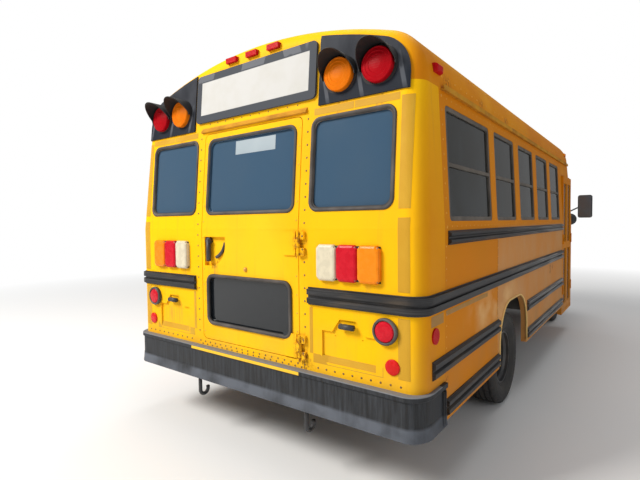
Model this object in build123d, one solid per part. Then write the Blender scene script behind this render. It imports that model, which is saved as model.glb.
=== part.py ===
"""Short school bus on a cutaway van chassis, in millimetres.

Body frame: X forward from the rear wall, Y to the left, Z up from the ground.
Each sub-part is moved so that the origin is midway between the two bumpers, and written as one STEP file.
"""
from build123d import *
import math
import os

# Body shell
BODY_HALF_WIDTH = 1219.0
BODY_BOTTOM_Z = 410.0
BELT_Z = 1460.0
DRIP_Z = 2204.0
ROOF_TOP_Z = 2675.0
SIDE_LEAN = 36.0
REAR_LEAN = 64.0
WALL = 45.0
CORNER_RADIUS = 95.0
CROWN_RADIUS = 3053.0
ROOF_SHOULDER_RADIUS = 280.0
NOSE_RADIUS = 120.0
BODY_LENGTH = 4900.0
REAR_SEAM_X = 285.0
LEFT_WALL_END_X = 3906.0
RIGHT_WALL_END_X = 4140.0
CAP_NOSE_SLOPE = 210.0
CAP_BOTTOM_Z = 2060.0
FLAT_GAP = 0.3
DOOR_GAP = 5.0

# Side windows
WINDOW_BOTTOM_Z = 1495.0
WINDOW_TOP_Z = 2129.0
WINDOW_BAR_Z = 1807.0
WINDOW_RADIUS = 30.0
FIRST_WINDOW_X = 364.0
FIRST_WINDOW_WIDTH = 805.0
WINDOW_X = 1290.0
WINDOW_PITCH = 710.0
WINDOW_WIDTH = 560.0
LAST_LEFT_WINDOW_WIDTH = 420.0
SASH_FACE = 26.0
SASH_INSET = 3.0
SASH_DEPTH = 30.0
SASH_BAR = 22.0
GLASS_INSET = 14.0
GLASS_THICKNESS = 5.0
GLASS_BITE = 8.0

# Rear wall
REAR_WINDOW_INNER_Y = 519.0
REAR_WINDOW_OUTER_Y = 1055.0
REAR_WINDOW_BOTTOM_Z = 1562.0
REAR_WINDOW_TOP_Z = 2094.0
REAR_WINDOW_RADIUS = 55.0
GASKET_FACE = 20.0
GASKET_PROUD = 5.0
PLATE_RECESS_INNER_Y = 608.0
PLATE_RECESS_OUTER_Y = 957.0
PLATE_RECESS_BOTTOM_Z = 705.0
PLATE_RECESS_SHOULDER_Z = 886.0
PLATE_RECESS_TOP_Z = 960.0
PLATE_RECESS_DEPTH = 12.0
PLATE_BOLT_SPACING = 177.8
PLATE_BOLT_RADIUS = 3.2
PLATE_BOLT_Z = 862.0
FRAME_NOTCH_HALF = 560.0
FRAME_NOTCH_TOP_Z = 668.0

# Emergency door
EXIT_HALF_WIDTH = 445.0
EXIT_BOTTOM_Z = 684.0
EXIT_TOP_Z = 2126.0
EXIT_CORNER_RADIUS = 40.0
EXIT_UPPER_GLASS_HALF = 400.0
EXIT_UPPER_GLASS_BOTTOM_Z = 1560.0
EXIT_UPPER_GLASS_TOP_Z = 2080.0
EXIT_LOWER_GLASS_HALF = 382.0
EXIT_LOWER_GLASS_BOTTOM_Z = 801.0
EXIT_LOWER_GLASS_TOP_Z = 1142.0
EXIT_HINGE_Y = -456.0
EXIT_HINGE_X = -18.0
EXIT_HINGE_Z = (765.0, 1374.0)
EXIT_HINGE_LENGTH = 142.0
HANDLE_RECESS_RIGHT_Y = 200.0
HANDLE_RECESS_LEFT_Y = 413.0
HANDLE_RECESS_BOTTOM_Z = 1204.0
HANDLE_RECESS_TOP_Z = 1405.0
HANDLE_RECESS_DEPTH = 26.0
HANDLE_BAR_RADIUS = 9.0

# Rub rails
RAIL_PROUD = 20.0
SILL_RAIL_Z = (1366.0, 1443.0)
MID_RAIL_Z = (1024.0, 1125.0)
LOW_RAIL_Z = (685.0, 781.0)
SKIRT_RAIL_Z = (438.0, 530.0)
RAIL_BACK = 6.0
RAIL_RIDGES = 2
REAR_RAIL_INNER_Y = 515.0
SILL_RAIL_START_X = 330.0
LOW_RAIL_START_X = 110.0
SKIRT_RAIL_START_X = 300.0
RAIL_END_MARGIN = 12.0
ARCH_RAIL_MARGIN = 24.0

# Bumpers and tow hooks
BUMPER_BACK = 138.0
BUMPER_BOTTOM_Z = 377.0
BUMPER_TOP_Z = 663.0
BUMPER_THICKNESS = 8.0
BUMPER_LIP = 52.0
BUMPER_WRAP_X = 262.0
BUMPER_SIDE_OUT = 28.0
BUMPER_WAIST = 18.0
FRONT_BUMPER_X = 6090.0
FRONT_BUMPER_BOTTOM_Z = 430.0
FRONT_BUMPER_TOP_Z = 620.0
FRONT_BUMPER_HALF = 985.0
HOOK_Y = 490.0
HOOK_ROD = 13.0
HOOK_RING = 38.0
HOOK_Z = 372.0

# Wheels and axles
REAR_AXLE_X = 1781.0
WHEELBASE = 3505.0
TYRE_RADIUS = 372.0
TYRE_WIDTH = 223.0
RIM_RADIUS = 203.0
DUAL_SPACING = 257.0
OUTER_TYRE_Y = 1050.0
FRONT_TYRE_Y = 873.0
KINGPIN_Y = 770.0
KINGPIN_RADIUS = 14.0
STEER_STOP_DEG = 35.0
HUB_BORE_RADIUS = 30.0
RUNNING_CLEARANCE = 0.3
BEAD_HALF = 73.5
BEAD_SEAT = 14.0
FLANGE = 14.0
TREAD_GROOVE = 8.0
RIM_SKIN = 6.0
WELL_DEPTH = 18.0
DISC_THICKNESS = 10.0
DISC_FLAT_RADIUS = 112.0
HAND_HOLES = 8
HAND_HOLE_CIRCLE = 145.0
HAND_HOLE_RADIUS = 16.0
FRONT_DISH = 100.0
FRONT_HUB_BACK = -22.0
HUB_RADIUS = 72.0
HUB_CAP_RADIUS = 58.0
HUB_CAP_LENGTH = 34.0
HUB_CAP_SKIN = 6.0
REAR_HUB_LENGTH = 120.0
DRUM_RADIUS = 160.0
DRUM_DEPTH = 110.0
ARCH_HALF = 435.0
ARCH_TOP_Z = 875.0
ARCH_RADIUS = 300.0
WHEELHOUSE_INNER_Y = 635.0
WHEELHOUSE_SKIN = 8.0
WHEELHOUSE_RISE = 6.0

# Floor and frame
FLOOR_TOP_Z = 740.0
FLOOR_THICKNESS = 48.0
FRAME_Y = 430.0
FRAME_WIDTH = 70.0
FRAME_HEIGHT = 140.0
FRAME_WEB = 8.0
FRAME_BACK_X = 52.0
FRAME_FRONT_X = 6035.0
CROSS_MEMBER_X = (60.0, 1210.0, 2500.0, 3600.0, 4200.0, 5850.0)
SPRING_Y = 560.0
SPRING_WIDTH = 70.0
SPRING_LEAF = 9.0
SPRING_HALF_LENGTH = 640.0
AXLE_TUBE_RADIUS = 45.0
DIFF_RADIUS = 150.0

# Entry portal
PORTAL_FRONT_X = 4900.0
PORTAL_BOTTOM_Z = 313.0
ENTRY_REAR_X = 4205.0
ENTRY_FRONT_X = 4835.0
ENTRY_BOTTOM_Z = 350.0
ENTRY_TOP_Z = 2040.0
LEAF_THICKNESS = 34.0
LEAF_MEETING_GAP = 12.0
STEP_RISE = 200.0
STEP_INNER_Y = 700.0
STEP_SKIN = 8.0
ENTRY_STILE = 45.0
ENTRY_GLASS_Z = ((430.0, 1130.0), (1210.0, 1950.0))
ENTRY_HINGE_Z = (620.0, 1250.0)
SMALL_HINGE_LENGTH = 120.0
SMALL_HINGE_RADIUS = 7.0
SMALL_HINGE_PIN = 3.0
SMALL_HINGE_LEAF = 30.0

# Cab
CAB_HALF_WIDTH = 1005.0
CAB_TOP_HALF_WIDTH = 915.0
CAB_WALL = 40.0
CAB_BELT_Z = 1300.0
CAB_BOTTOM_Z = 455.0
CAB_HEADER_Z = 2060.0
SHIELD_BASE_X = 5280.0
SHIELD_TOP_X = 4880.0
CAB_CORNER_RADIUS = 150.0
FIREWALL_X = 5150.0
DOOR_REAR_X = 3960.0
DOOR_FRONT_X = 4850.0
DOOR_SHOULDER_X = 4640.0
DOOR_BOTTOM_Z = 500.0
DOOR_TOP_Z = 1985.0
FENDER_REAR_X = 4858.0
FENDER_WALL = 12.0
NOSE_X = 6030.0
HOOD_REAR_Z = 1292.0
HOOD_FRONT_Z = 1120.0
HOOD_SIDE_GAP = 10.0
HOOD_HALF_FRONT = 760.0
HOOD_THICKNESS = 22.0
HOOD_COWL_GAP = 14.0
GRILLE_BOTTOM_Z = 700.0
GRILLE_HALF = 520.0
GRILLE_BARS = 5
FRONT_ARCH_RADIUS = 455.0
FOOT_HALF = 520.0
FOOT_SHELF = 12.0
SHIELD_MARGIN = 95.0
CAB_DOOR_GAP = 7.0
CAB_DOOR_HINGE_Z = (680.0, 1180.0)
HOOD_HINGE_Y = 560.0
HOOD_HINGE_LENGTH = 120.0
STEERING_Y = 450.0
COLUMN_X = 4990.0
COLUMN_Z = 1190.0
COLUMN_TILT = -62.0
COLUMN_LENGTH = 330.0

# Lamps and signs
SIGN_HALF_WIDTH = 540.0
SIGN_BOTTOM_Z = 2211.0
SIGN_TOP_Z = 2550.0
SIGN_THICKNESS = 16.0
LAMP_PANEL_INNER_Y = 562.0
LAMP_PANEL_OUTER_Y = 1124.0
LAMP_PANEL_BOTTOM_Z = 2163.0
LAMP_PANEL_THICKNESS = 12.0
WARNING_LAMP_RADIUS = 92.0
WARNING_LAMP_Z = 2306.0
AMBER_LAMP_Y = 710.0
RED_LAMP_Y = 954.0
WARNING_LAMP_DEPTH = 34.0
VISOR_REACH = 105.0
VISOR_SKIN = 4.0
TAIL_LAMP_INNER_Y = 587.0
TAIL_LAMP_OUTER_Y = 994.0
TAIL_LAMP_BOTTOM_Z = 1172.0
TAIL_LAMP_TOP_Z = 1373.0
TAIL_LAMP_PROUD = 30.0

# Stop arm
STOP_HINGE_X = 3560.0
STOP_Z = 1246.0
STOP_ACROSS = 457.0
STOP_BLADE = 6.0
STOP_STANDOFF = 46.0

# Seats
SEAT_FIRST_X = 560.0
SEAT_PITCH = 690.0
SEAT_ROWS = 5
SEAT_WIDTH = 860.0
SEAT_DEPTH = 400.0
SEAT_TOP_Z = 1180.0
SEAT_BACK_TOP_Z = 1790.0
SEAT_CUSHION = 110.0
SEAT_BACK_THICKNESS = 80.0
SEAT_WALL_GAP = 12.0

FRONT_AXLE_X = REAR_AXLE_X + WHEELBASE
MIDDLE_X = (FRONT_BUMPER_X - BUMPER_BACK) / 2
FLOOR_UNDER_Z = FLOOR_TOP_Z - FLOOR_THICKNESS
FAR = 4000.0
ENTRY_HINGE_Y = -BODY_HALF_WIDTH - SMALL_HINGE_RADIUS - 1.0
CAB_DOOR_HINGE_Y = CAB_HALF_WIDTH + SMALL_HINGE_RADIUS + 5.0


# Plain solids
def block(x, y, z):
    """Box from three (low, high) pairs."""
    size = [abs(pair[1] - pair[0]) for pair in (x, y, z)]
    low = [min(pair) for pair in (x, y, z)]
    return Pos(*low) * Box(*size, align=(Align.MIN, Align.MIN, Align.MIN))


def rod_x(x, y, z, radius):
    """Round bar along X between a (low, high) pair."""
    bar = Cylinder(radius, abs(x[1] - x[0]), align=(Align.CENTER, Align.CENTER, Align.MIN))
    return Pos(min(x), y, z) * Rot(0, 90, 0) * bar


def rod_y(x, y, z, radius):
    """Round bar along Y between a (low, high) pair."""
    bar = Cylinder(radius, abs(y[1] - y[0]), align=(Align.CENTER, Align.CENTER, Align.MIN))
    return Pos(x, max(y), z) * Rot(90, 0, 0) * bar


def rod_z(x, y, z, radius):
    """Round bar along Z between a (low, high) pair."""
    bar = Cylinder(radius, abs(z[1] - z[0]), align=(Align.CENTER, Align.CENTER, Align.MIN))
    return Pos(x, y, min(z)) * bar


def plate_xz(points, y, radius=0.0, grow=0.0):
    """Polygon of (x, z) points, grown and its corners rounded, made solid between a (low, high) pair of Y."""
    face = make_face(Polyline(*[(px, pz) for px, pz in points], close=True))
    if grow:
        face = offset(face, amount=grow, kind=Kind.INTERSECTION)
    if radius:
        face = fillet(face.vertices(), radius)
    solid = extrude(face, abs(y[1] - y[0]))
    return Pos(0, max(y), 0) * Rot(90, 0, 0) * solid


def plate_yz(points, x, radius=0.0):
    """Polygon of (y, z) points, its corners rounded, made solid between a (low, high) pair of X."""
    face = make_face(Polyline(*[(py, pz) for py, pz in points], close=True))
    if radius:
        face = fillet(face.vertices(), radius)
    solid = extrude(face, abs(x[1] - x[0]))
    return Pos(min(x), 0, 0) * (Plane.YZ * solid)


def rectangle(low, high):
    """Corner points of a rectangle."""
    return [(low[0], low[1]), (high[0], low[1]), (high[0], high[1]), (low[0], high[1])]


def turned(points, x, y, z):
    """Solid of revolution about an axle along Y, from (radius, y) points."""
    face = make_face(Polyline(*points, close=True))
    ring = revolve(face, Axis.Y, 360)
    return Pos(x, y, z) * ring


def mirrored(shape):
    """The same shape on the other side of the bus."""
    return mirror(Compound(shape.solids()), about=Plane.XZ)


def both_sides(shape):
    """A shape and its mirror image as one node."""
    return Compound(shape.solids() + mirrored(shape).solids())


# Body shell
def side_lean(z):
    """How far a side wall has leaned inwards at height z."""
    return SIDE_LEAN * max(0.0, z - BELT_Z) / (DRIP_Z - BELT_Z)


def rear_lean(z):
    """How far the rear wall has leaned forward at height z."""
    return REAR_LEAN * max(0.0, z - BELT_Z) / (DRIP_Z - BELT_Z)


def plan_section(z, inset):
    """Plan outline of the body at height z, its four corners rounded."""
    half = BODY_HALF_WIDTH - side_lean(z) - inset
    back = rear_lean(z) + inset
    front = BODY_LENGTH - inset
    outline = Pos((back + front) / 2, 0, z) * RectangleRounded(front - back, 2 * half, CORNER_RADIUS - inset)
    return outline.face()


def crown_section(inset):
    """Section across the body: leaning walls, rounded shoulders and crowned roof."""
    top = ROOF_TOP_Z - inset
    foot = BODY_HALF_WIDTH - inset
    crown = CROWN_RADIUS - inset
    corner_z = DRIP_Z
    for _ in range(12):
        corner_y = BODY_HALF_WIDTH - side_lean(corner_z) - inset
        corner_z = top - crown + math.sqrt(crown * crown - corner_y * corner_y)
    bottom = BODY_BOTTOM_Z - FLOOR_THICKNESS
    walls = Polyline((-corner_y, corner_z), (-foot, BELT_Z), (-foot, bottom), (foot, bottom), (foot, BELT_Z),
                     (corner_y, corner_z))
    roof = ThreePointArc((corner_y, corner_z), (0, top), (-corner_y, corner_z))
    face = make_face([*walls.edges(), roof])
    shoulders = face.vertices().filter_by(lambda v: abs(v.Y - corner_z) < 1.0)
    return fillet(shoulders, ROOF_SHOULDER_RADIUS - inset)


def body_hull(inset):
    """The body's outer form, drawn in by inset: upright lower walls, then walls that lean in under the roof."""
    section = extrude(crown_section(inset), BODY_LENGTH + 2 * FLOOR_THICKNESS + CAP_NOSE_SLOPE)
    section = Pos(-FLOOR_THICKNESS, 0, 0) * (Plane.YZ * section)
    above = ROOF_TOP_Z + WALL
    profile = [(end_surface(BELT_Z, False) + inset, BELT_Z), (end_surface(BELT_Z, True) - inset, BELT_Z),
               (end_surface(above, True) - inset, above), (end_surface(above, False) + inset, above)]
    upper = section & plate_xz(profile, (-FAR, FAR))
    for end, reach in ((0, CORNER_RADIUS - inset), (-1, NOSE_RADIUS - inset)):
        face = upper.faces().filter_by(lambda f: abs(f.normal_at().X) > 0.8).sort_by(Axis.X)[end]
        rim = [edge for edge in face.edges() if edge.bounding_box().max.Z > BELT_Z + 1]
        upper = fillet(rim, reach)
    foot = upper.faces().sort_by(Axis.Z)[0]
    return upper + extrude(foot, BELT_Z - BODY_BOTTOM_Z, dir=(0, 0, -1))


def end_surface(z, front):
    """X of the rear or front face of the body at height z."""
    if front:
        slope = CAP_NOSE_SLOPE / (ROOF_TOP_Z - CAP_BOTTOM_Z)
        return BODY_LENGTH - slope * (z - CAP_BOTTOM_Z)
    return rear_lean(z)


OUTER = body_hull(0.0)
INNER = body_hull(WALL)
SHELL = OUTER - INNER


def layer(near, depth):
    """Skin that lies between two depths below the body's outer surface."""
    return body_hull(near) - body_hull(near + depth)


SASH_LAYER = layer(SASH_INSET, SASH_DEPTH)
GLASS_LAYER = layer(GLASS_INSET, GLASS_THICKNESS)


def side_windows(side):
    """Table of side windows: rear edge, width."""
    rows = [(FIRST_WINDOW_X, FIRST_WINDOW_WIDTH)]
    for index in range(4):
        last_left = side > 0 and index == 3
        width = LAST_LEFT_WINDOW_WIDTH if last_left else WINDOW_WIDTH
        rows.append((WINDOW_X + index * WINDOW_PITCH, width))
    return rows


def window_prism(start, width, side, grow=0.0):
    """Window-shaped cutter through a side wall."""
    outline = rectangle((start - grow, WINDOW_BOTTOM_Z - grow), (start + width + grow, WINDOW_TOP_Z + grow))
    span = sorted((side * CAB_HALF_WIDTH, side * (BODY_HALF_WIDTH + WALL)))
    return plate_xz(outline, span, WINDOW_RADIUS + grow)


def rear_prism(y, z, radius):
    """Cutter through the rear wall."""
    return plate_yz(rectangle((y[0], z[0]), (y[1], z[1])), (-WALL, REAR_LEAN + 2 * WALL), radius)


def arch_cutter(side):
    """Rear wheel arch through a side wall."""
    outline = rectangle((REAR_AXLE_X - ARCH_HALF, 0), (REAR_AXLE_X + ARCH_HALF, ARCH_TOP_Z))
    span = sorted((side * WHEELHOUSE_INNER_Y, side * (BODY_HALF_WIDTH + WALL)))
    return plate_xz(outline, span, ARCH_RADIUS)


def side_wall(side):
    """Side wall from the rear seam to the cab, windows and arch cut."""
    end = LEFT_WALL_END_X if side > 0 else RIGHT_WALL_END_X
    reach = sorted((side * CAB_HALF_WIDTH, side * (BODY_HALF_WIDTH + WALL)))
    wall = SHELL & block((REAR_SEAM_X, end), reach, (BODY_BOTTOM_Z, DRIP_Z))
    for start, width in side_windows(side):
        wall -= window_prism(start, width, side)
    wall -= arch_cutter(side)
    if side > 0:
        closing = plate_yz(rectangle((CAB_HALF_WIDTH, BODY_BOTTOM_Z), (BODY_HALF_WIDTH, CAP_BOTTOM_Z)),
                           (end - WALL, end)) & INNER
        wall = Compound((wall + stop_arm_bracket()).solids() + closing.solids())
    return wall


def stop_arm_bracket():
    """Fixed hinge ears of the stop arm on the left wall."""
    y = BODY_HALF_WIDTH + STOP_STANDOFF
    ears = None
    for z in (STOP_Z - 120, STOP_Z + 90):
        arm = block((STOP_HINGE_X - 14, STOP_HINGE_X + 14), (BODY_HALF_WIDTH - 5, y), (z, z + 30))
        ear = arm + rod_z(STOP_HINGE_X, y, (z, z + 30), 14)
        ears = ear if ears is None else ears + ear
    return ears


def rear_wall():
    """Rear wall with its corner posts, door and window openings and plate recesses."""
    wall = SHELL & block((-WALL, REAR_SEAM_X), (-FAR, FAR), (BODY_BOTTOM_Z, DRIP_Z))
    wall -= rear_prism((-EXIT_HALF_WIDTH, EXIT_HALF_WIDTH), (EXIT_BOTTOM_Z, EXIT_TOP_Z), EXIT_CORNER_RADIUS)
    window = rear_prism((REAR_WINDOW_INNER_Y, REAR_WINDOW_OUTER_Y), (REAR_WINDOW_BOTTOM_Z, REAR_WINDOW_TOP_Z),
                        REAR_WINDOW_RADIUS)
    recess = plate_recess()
    wall = wall - window - mirrored(window) - recess - mirrored(recess)
    wall -= block((-WALL, WALL + 1), (-FRAME_NOTCH_HALF, FRAME_NOTCH_HALF), (0, FRAME_NOTCH_TOP_Z))
    bolts = plate_bolts()
    wall = wall - bolts - mirrored(bolts)
    for z in EXIT_HINGE_Z:
        wall += exit_hinge_fixed(z)
    return wall


def plate_recess():
    """Arched pocket for a number plate."""
    inner, outer = PLATE_RECESS_INNER_Y, PLATE_RECESS_OUTER_Y
    middle = (inner + outer) / 2
    arch = 0.3 * (outer - inner)
    points = [(inner, PLATE_RECESS_BOTTOM_Z), (outer, PLATE_RECESS_BOTTOM_Z), (outer, PLATE_RECESS_SHOULDER_Z),
              (middle + arch, PLATE_RECESS_SHOULDER_Z), (middle + arch / 2, PLATE_RECESS_TOP_Z),
              (middle - arch / 2, PLATE_RECESS_TOP_Z), (middle - arch, PLATE_RECESS_SHOULDER_Z),
              (inner, PLATE_RECESS_SHOULDER_Z)]
    return plate_yz(points, (-WALL, PLATE_RECESS_DEPTH))


def plate_bolts():
    """Two holes of a number plate."""
    middle = (PLATE_RECESS_INNER_Y + PLATE_RECESS_OUTER_Y) / 2
    holes = [rod_x((-WALL, 2 * WALL), middle + step * PLATE_BOLT_SPACING / 2, PLATE_BOLT_Z, PLATE_BOLT_RADIUS)
             for step in (-1, 1)]
    return holes[0] + holes[1]


def exit_hinge_fixed(z):
    """Post half of a heavy door hinge: two outer knuckles, their leaf and the pin."""
    half = EXIT_HINGE_LENGTH / 2
    third = EXIT_HINGE_LENGTH / 6
    y = EXIT_HINGE_Y
    leaf_end = y - 40
    parts = rod_z(EXIT_HINGE_X, y, (z - half, z + half), 5)
    for low, high in ((z - half, z - third - 1), (z + third + 1, z + half)):
        parts += rod_z(EXIT_HINGE_X, y, (low, high), 12)
        parts += block((EXIT_HINGE_X, 2), (leaf_end, y), (low, high))
    return parts


def exit_hinge_moving(z):
    """Door half of a heavy door hinge: middle knuckle and strap."""
    third = EXIT_HINGE_LENGTH / 6
    half = EXIT_HINGE_LENGTH / 2
    y = EXIT_HINGE_Y
    knuckle = rod_z(EXIT_HINGE_X, y, (z - third, z + third), 12)
    neck = block((EXIT_HINGE_X - 8, -1), (y, y + 40), (z - third, z + third))
    strap = block((-10, 0), (y + 30, y + 126), (z - half, z + half))
    bore = rod_z(EXIT_HINGE_X, y, (z - half, z + half), 5 + RUNNING_CLEARANCE)
    return (knuckle + neck + strap) - bore


def emergency_door():
    """Rear emergency door leaf with its two windows, handle pocket and hinge straps."""
    gap = DOOR_GAP
    leaf = SHELL & rear_prism((-EXIT_HALF_WIDTH + gap, EXIT_HALF_WIDTH - gap), (EXIT_BOTTOM_Z + gap, EXIT_TOP_Z - gap),
                              EXIT_CORNER_RADIUS - gap)
    upper = rear_prism((-EXIT_UPPER_GLASS_HALF, EXIT_UPPER_GLASS_HALF),
                       (EXIT_UPPER_GLASS_BOTTOM_Z, EXIT_UPPER_GLASS_TOP_Z), REAR_WINDOW_RADIUS)
    lower = rear_prism((-EXIT_LOWER_GLASS_HALF, EXIT_LOWER_GLASS_HALF),
                       (EXIT_LOWER_GLASS_BOTTOM_Z, EXIT_LOWER_GLASS_TOP_Z), REAR_WINDOW_RADIUS)
    pocket = block((-WALL, HANDLE_RECESS_DEPTH), (HANDLE_RECESS_RIGHT_Y, HANDLE_RECESS_LEFT_Y),
                   (HANDLE_RECESS_BOTTOM_Z, HANDLE_RECESS_TOP_Z))
    leaf = leaf - upper - lower - pocket
    for z in EXIT_HINGE_Z:
        leaf += exit_hinge_moving(z)
    return leaf


def emergency_door_handle():
    """Latch handle in the pocket: boss and bent bar."""
    y = HANDLE_RECESS_LEFT_Y - 60
    z = HANDLE_RECESS_TOP_Z - 55
    boss = rod_x((4, HANDLE_RECESS_DEPTH - FLAT_GAP), y, z, 24)
    bar = rod_y(-2, (HANDLE_RECESS_RIGHT_Y + 25, y), z, HANDLE_BAR_RADIUS)
    stem = rod_x((-2, 12), y, z, 14)
    return boss + bar + stem


def pane_ring(prism, cutters, skin):
    """Frame that fills a window opening, less its panes."""
    ring = skin & prism
    for cutter in cutters:
        ring -= cutter
    return ring


def window_sashes():
    """Aluminium split sashes of the side windows."""
    frames = []
    for side in (1, -1):
        for start, width in side_windows(side):
            prism = window_prism(start, width, side, -FLAT_GAP)
            cutters = [sash_pane(start, width, side, half, 0.0) for half in (0, 1)]
            frames.append(pane_ring(prism, cutters, SASH_LAYER))
    return Compound([solid for frame in frames for solid in frame.solids()])


def sash_pane(start, width, side, half, grow):
    """One pane's opening in a sash: the lower half or the upper half."""
    low = WINDOW_BOTTOM_Z + SASH_FACE if half == 0 else WINDOW_BAR_Z + SASH_BAR / 2
    high = WINDOW_BAR_Z - SASH_BAR / 2 if half == 0 else WINDOW_TOP_Z - SASH_FACE
    outline = rectangle((start + SASH_FACE - grow, low - grow), (start + width - SASH_FACE + grow, high + grow))
    span = sorted((side * CAB_HALF_WIDTH, side * (BODY_HALF_WIDTH + WALL)))
    return plate_xz(outline, span, 12)


def body_glass():
    """Panes of the side windows and of the two rear windows."""
    panes = both_sides(pane(*REAR_LIGHT)).solids()
    for side in (1, -1):
        for start, width in side_windows(side):
            for half in (0, 1):
                panes += (GLASS_LAYER & sash_pane(start, width, side, half, -FLAT_GAP)).solids()
    return Compound(panes)


def gasket(y, z, radius):
    """Rubber gasket that fills the edge of a rear window opening."""
    low, high = y
    bottom, top = z
    rim = rear_prism((low + FLAT_GAP, high - FLAT_GAP), (bottom + FLAT_GAP, top - FLAT_GAP), radius)
    face = GASKET_FACE
    hole = rear_prism((low + face, high - face), (bottom + face, top - face), radius - face / 2)
    return (SASH_LAYER & rim) - hole


def pane(y, z, radius):
    """Glass inside a gasket."""
    face = GASKET_FACE + FLAT_GAP
    low, high = y
    bottom, top = z
    return GLASS_LAYER & rear_prism((low + face, high - face), (bottom + face, top - face), radius - face / 2)


REAR_LIGHT = ((REAR_WINDOW_INNER_Y, REAR_WINDOW_OUTER_Y), (REAR_WINDOW_BOTTOM_Z, REAR_WINDOW_TOP_Z),
              REAR_WINDOW_RADIUS)
EXIT_UPPER = ((-EXIT_UPPER_GLASS_HALF, EXIT_UPPER_GLASS_HALF),
              (EXIT_UPPER_GLASS_BOTTOM_Z, EXIT_UPPER_GLASS_TOP_Z), REAR_WINDOW_RADIUS)
EXIT_LOWER = ((-EXIT_LOWER_GLASS_HALF, EXIT_LOWER_GLASS_HALF),
              (EXIT_LOWER_GLASS_BOTTOM_Z, EXIT_LOWER_GLASS_TOP_Z), REAR_WINDOW_RADIUS)


def roof():
    """Roof from the rear cap to the front cap."""
    return SHELL & block((-WALL, LEFT_WALL_END_X), (-FAR, FAR), (DRIP_Z, ROOF_TOP_Z + WALL))


def front_cap():
    """Moulded cap over the cab, with its side skirts and the soffit over the windscreen."""
    cap = SHELL & block((LEFT_WALL_END_X, BODY_LENGTH + WALL), (-FAR, FAR), (DRIP_Z, ROOF_TOP_Z + WALL))
    skirt = SHELL & block((LEFT_WALL_END_X, BODY_LENGTH + WALL), (-FAR, FAR), (CAP_BOTTOM_Z, DRIP_Z))
    skirt -= block((LEFT_WALL_END_X - 1, RIGHT_WALL_END_X), (-FAR, 0), (0, DRIP_Z))
    soffit = OUTER & block((RIGHT_WALL_END_X, BODY_LENGTH + WALL), (-FAR, FAR), (CAP_BOTTOM_Z, CAP_BOTTOM_Z + 20))
    soffit -= block((LEFT_WALL_END_X, SHIELD_TOP_X - 60), (-CAB_TOP_HALF_WIDTH + CAB_WALL, CAB_TOP_HALF_WIDTH - CAB_WALL),
                    (0, FAR))
    left_soffit = OUTER & block((LEFT_WALL_END_X, RIGHT_WALL_END_X), (CAB_TOP_HALF_WIDTH - CAB_WALL, FAR),
                                (CAP_BOTTOM_Z, CAP_BOTTOM_Z + 20))
    return cap + skirt + soffit + left_soffit


def entry_portal():
    """Doorway frame on the right: posts, header, front return and the step well."""
    reach = (-BODY_HALF_WIDTH - WALL, -CAB_HALF_WIDTH)
    tall = (BODY_BOTTOM_Z, CAP_BOTTOM_Z)
    frame = SHELL & block((RIGHT_WALL_END_X, PORTAL_FRONT_X), reach, tall)
    foot = block((RIGHT_WALL_END_X, PORTAL_FRONT_X), (-BODY_HALF_WIDTH, -BODY_HALF_WIDTH + WALL),
                 (PORTAL_BOTTOM_Z, BODY_BOTTOM_Z))
    frame += foot
    front = block((PORTAL_FRONT_X - WALL, PORTAL_FRONT_X), (-BODY_HALF_WIDTH, -CAB_HALF_WIDTH), (PORTAL_BOTTOM_Z, BELT_Z))
    front += plate_yz([(-BODY_HALF_WIDTH, BELT_Z), (-BODY_HALF_WIDTH + side_lean(CAP_BOTTOM_Z), CAP_BOTTOM_Z),
                       (-CAB_TOP_HALF_WIDTH, CAP_BOTTOM_Z), (-CAB_HALF_WIDTH, BELT_Z)],
                      (PORTAL_FRONT_X - WALL, PORTAL_FRONT_X))
    frame += front
    doorway = block((ENTRY_REAR_X, ENTRY_FRONT_X), (-BODY_HALF_WIDTH - WALL, -BODY_HALF_WIDTH + 3 * WALL),
                    (ENTRY_BOTTOM_Z, ENTRY_TOP_Z))
    frame -= doorway
    return frame + step_well() + entry_hinges_fixed()


def step_well():
    """Three steps up from the doorway to the floor."""
    rear = ENTRY_REAR_X - STEP_SKIN
    front = ENTRY_FRONT_X + STEP_SKIN
    door_side = -BODY_HALF_WIDTH + WALL
    depth = (STEP_INNER_Y - abs(door_side)) / 2
    steps = None
    for index in range(2):
        y = door_side - index * depth
        z = PORTAL_BOTTOM_Z + index * STEP_RISE
        tread = block((rear, front), (y, y - depth), (z, z + STEP_SKIN))
        riser_top = min(z + STEP_RISE + STEP_SKIN, FLOOR_TOP_Z)
        riser = block((rear, front), (y - depth - STEP_SKIN, y - depth), (z, riser_top))
        piece = tread + riser
        steps = piece if steps is None else steps + piece
    for x in (rear, front - STEP_SKIN):
        low = block((x, x + STEP_SKIN), (door_side, door_side - depth), (PORTAL_BOTTOM_Z, FLOOR_TOP_Z))
        high = block((x, x + STEP_SKIN), (door_side - depth, -STEP_INNER_Y), (PORTAL_BOTTOM_Z + STEP_RISE, FLOOR_TOP_Z))
        steps += low + high
    return steps


ENTRY_PIVOTS = ((ENTRY_REAR_X + 6, -1), (ENTRY_FRONT_X - 6, 1))


def entry_hinges_fixed():
    """Post knuckles of the entry door hinges."""
    parts = None
    for x, side in ENTRY_PIVOTS:
        for z in ENTRY_HINGE_Z:
            leaf = ((x, x + side * SMALL_HINGE_LEAF), (ENTRY_HINGE_Y - 2, -BODY_HALF_WIDTH + 2))
            piece = small_hinge(x, ENTRY_HINGE_Y, z, leaf, False)
            parts = piece if parts is None else parts + piece
    return parts


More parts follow.
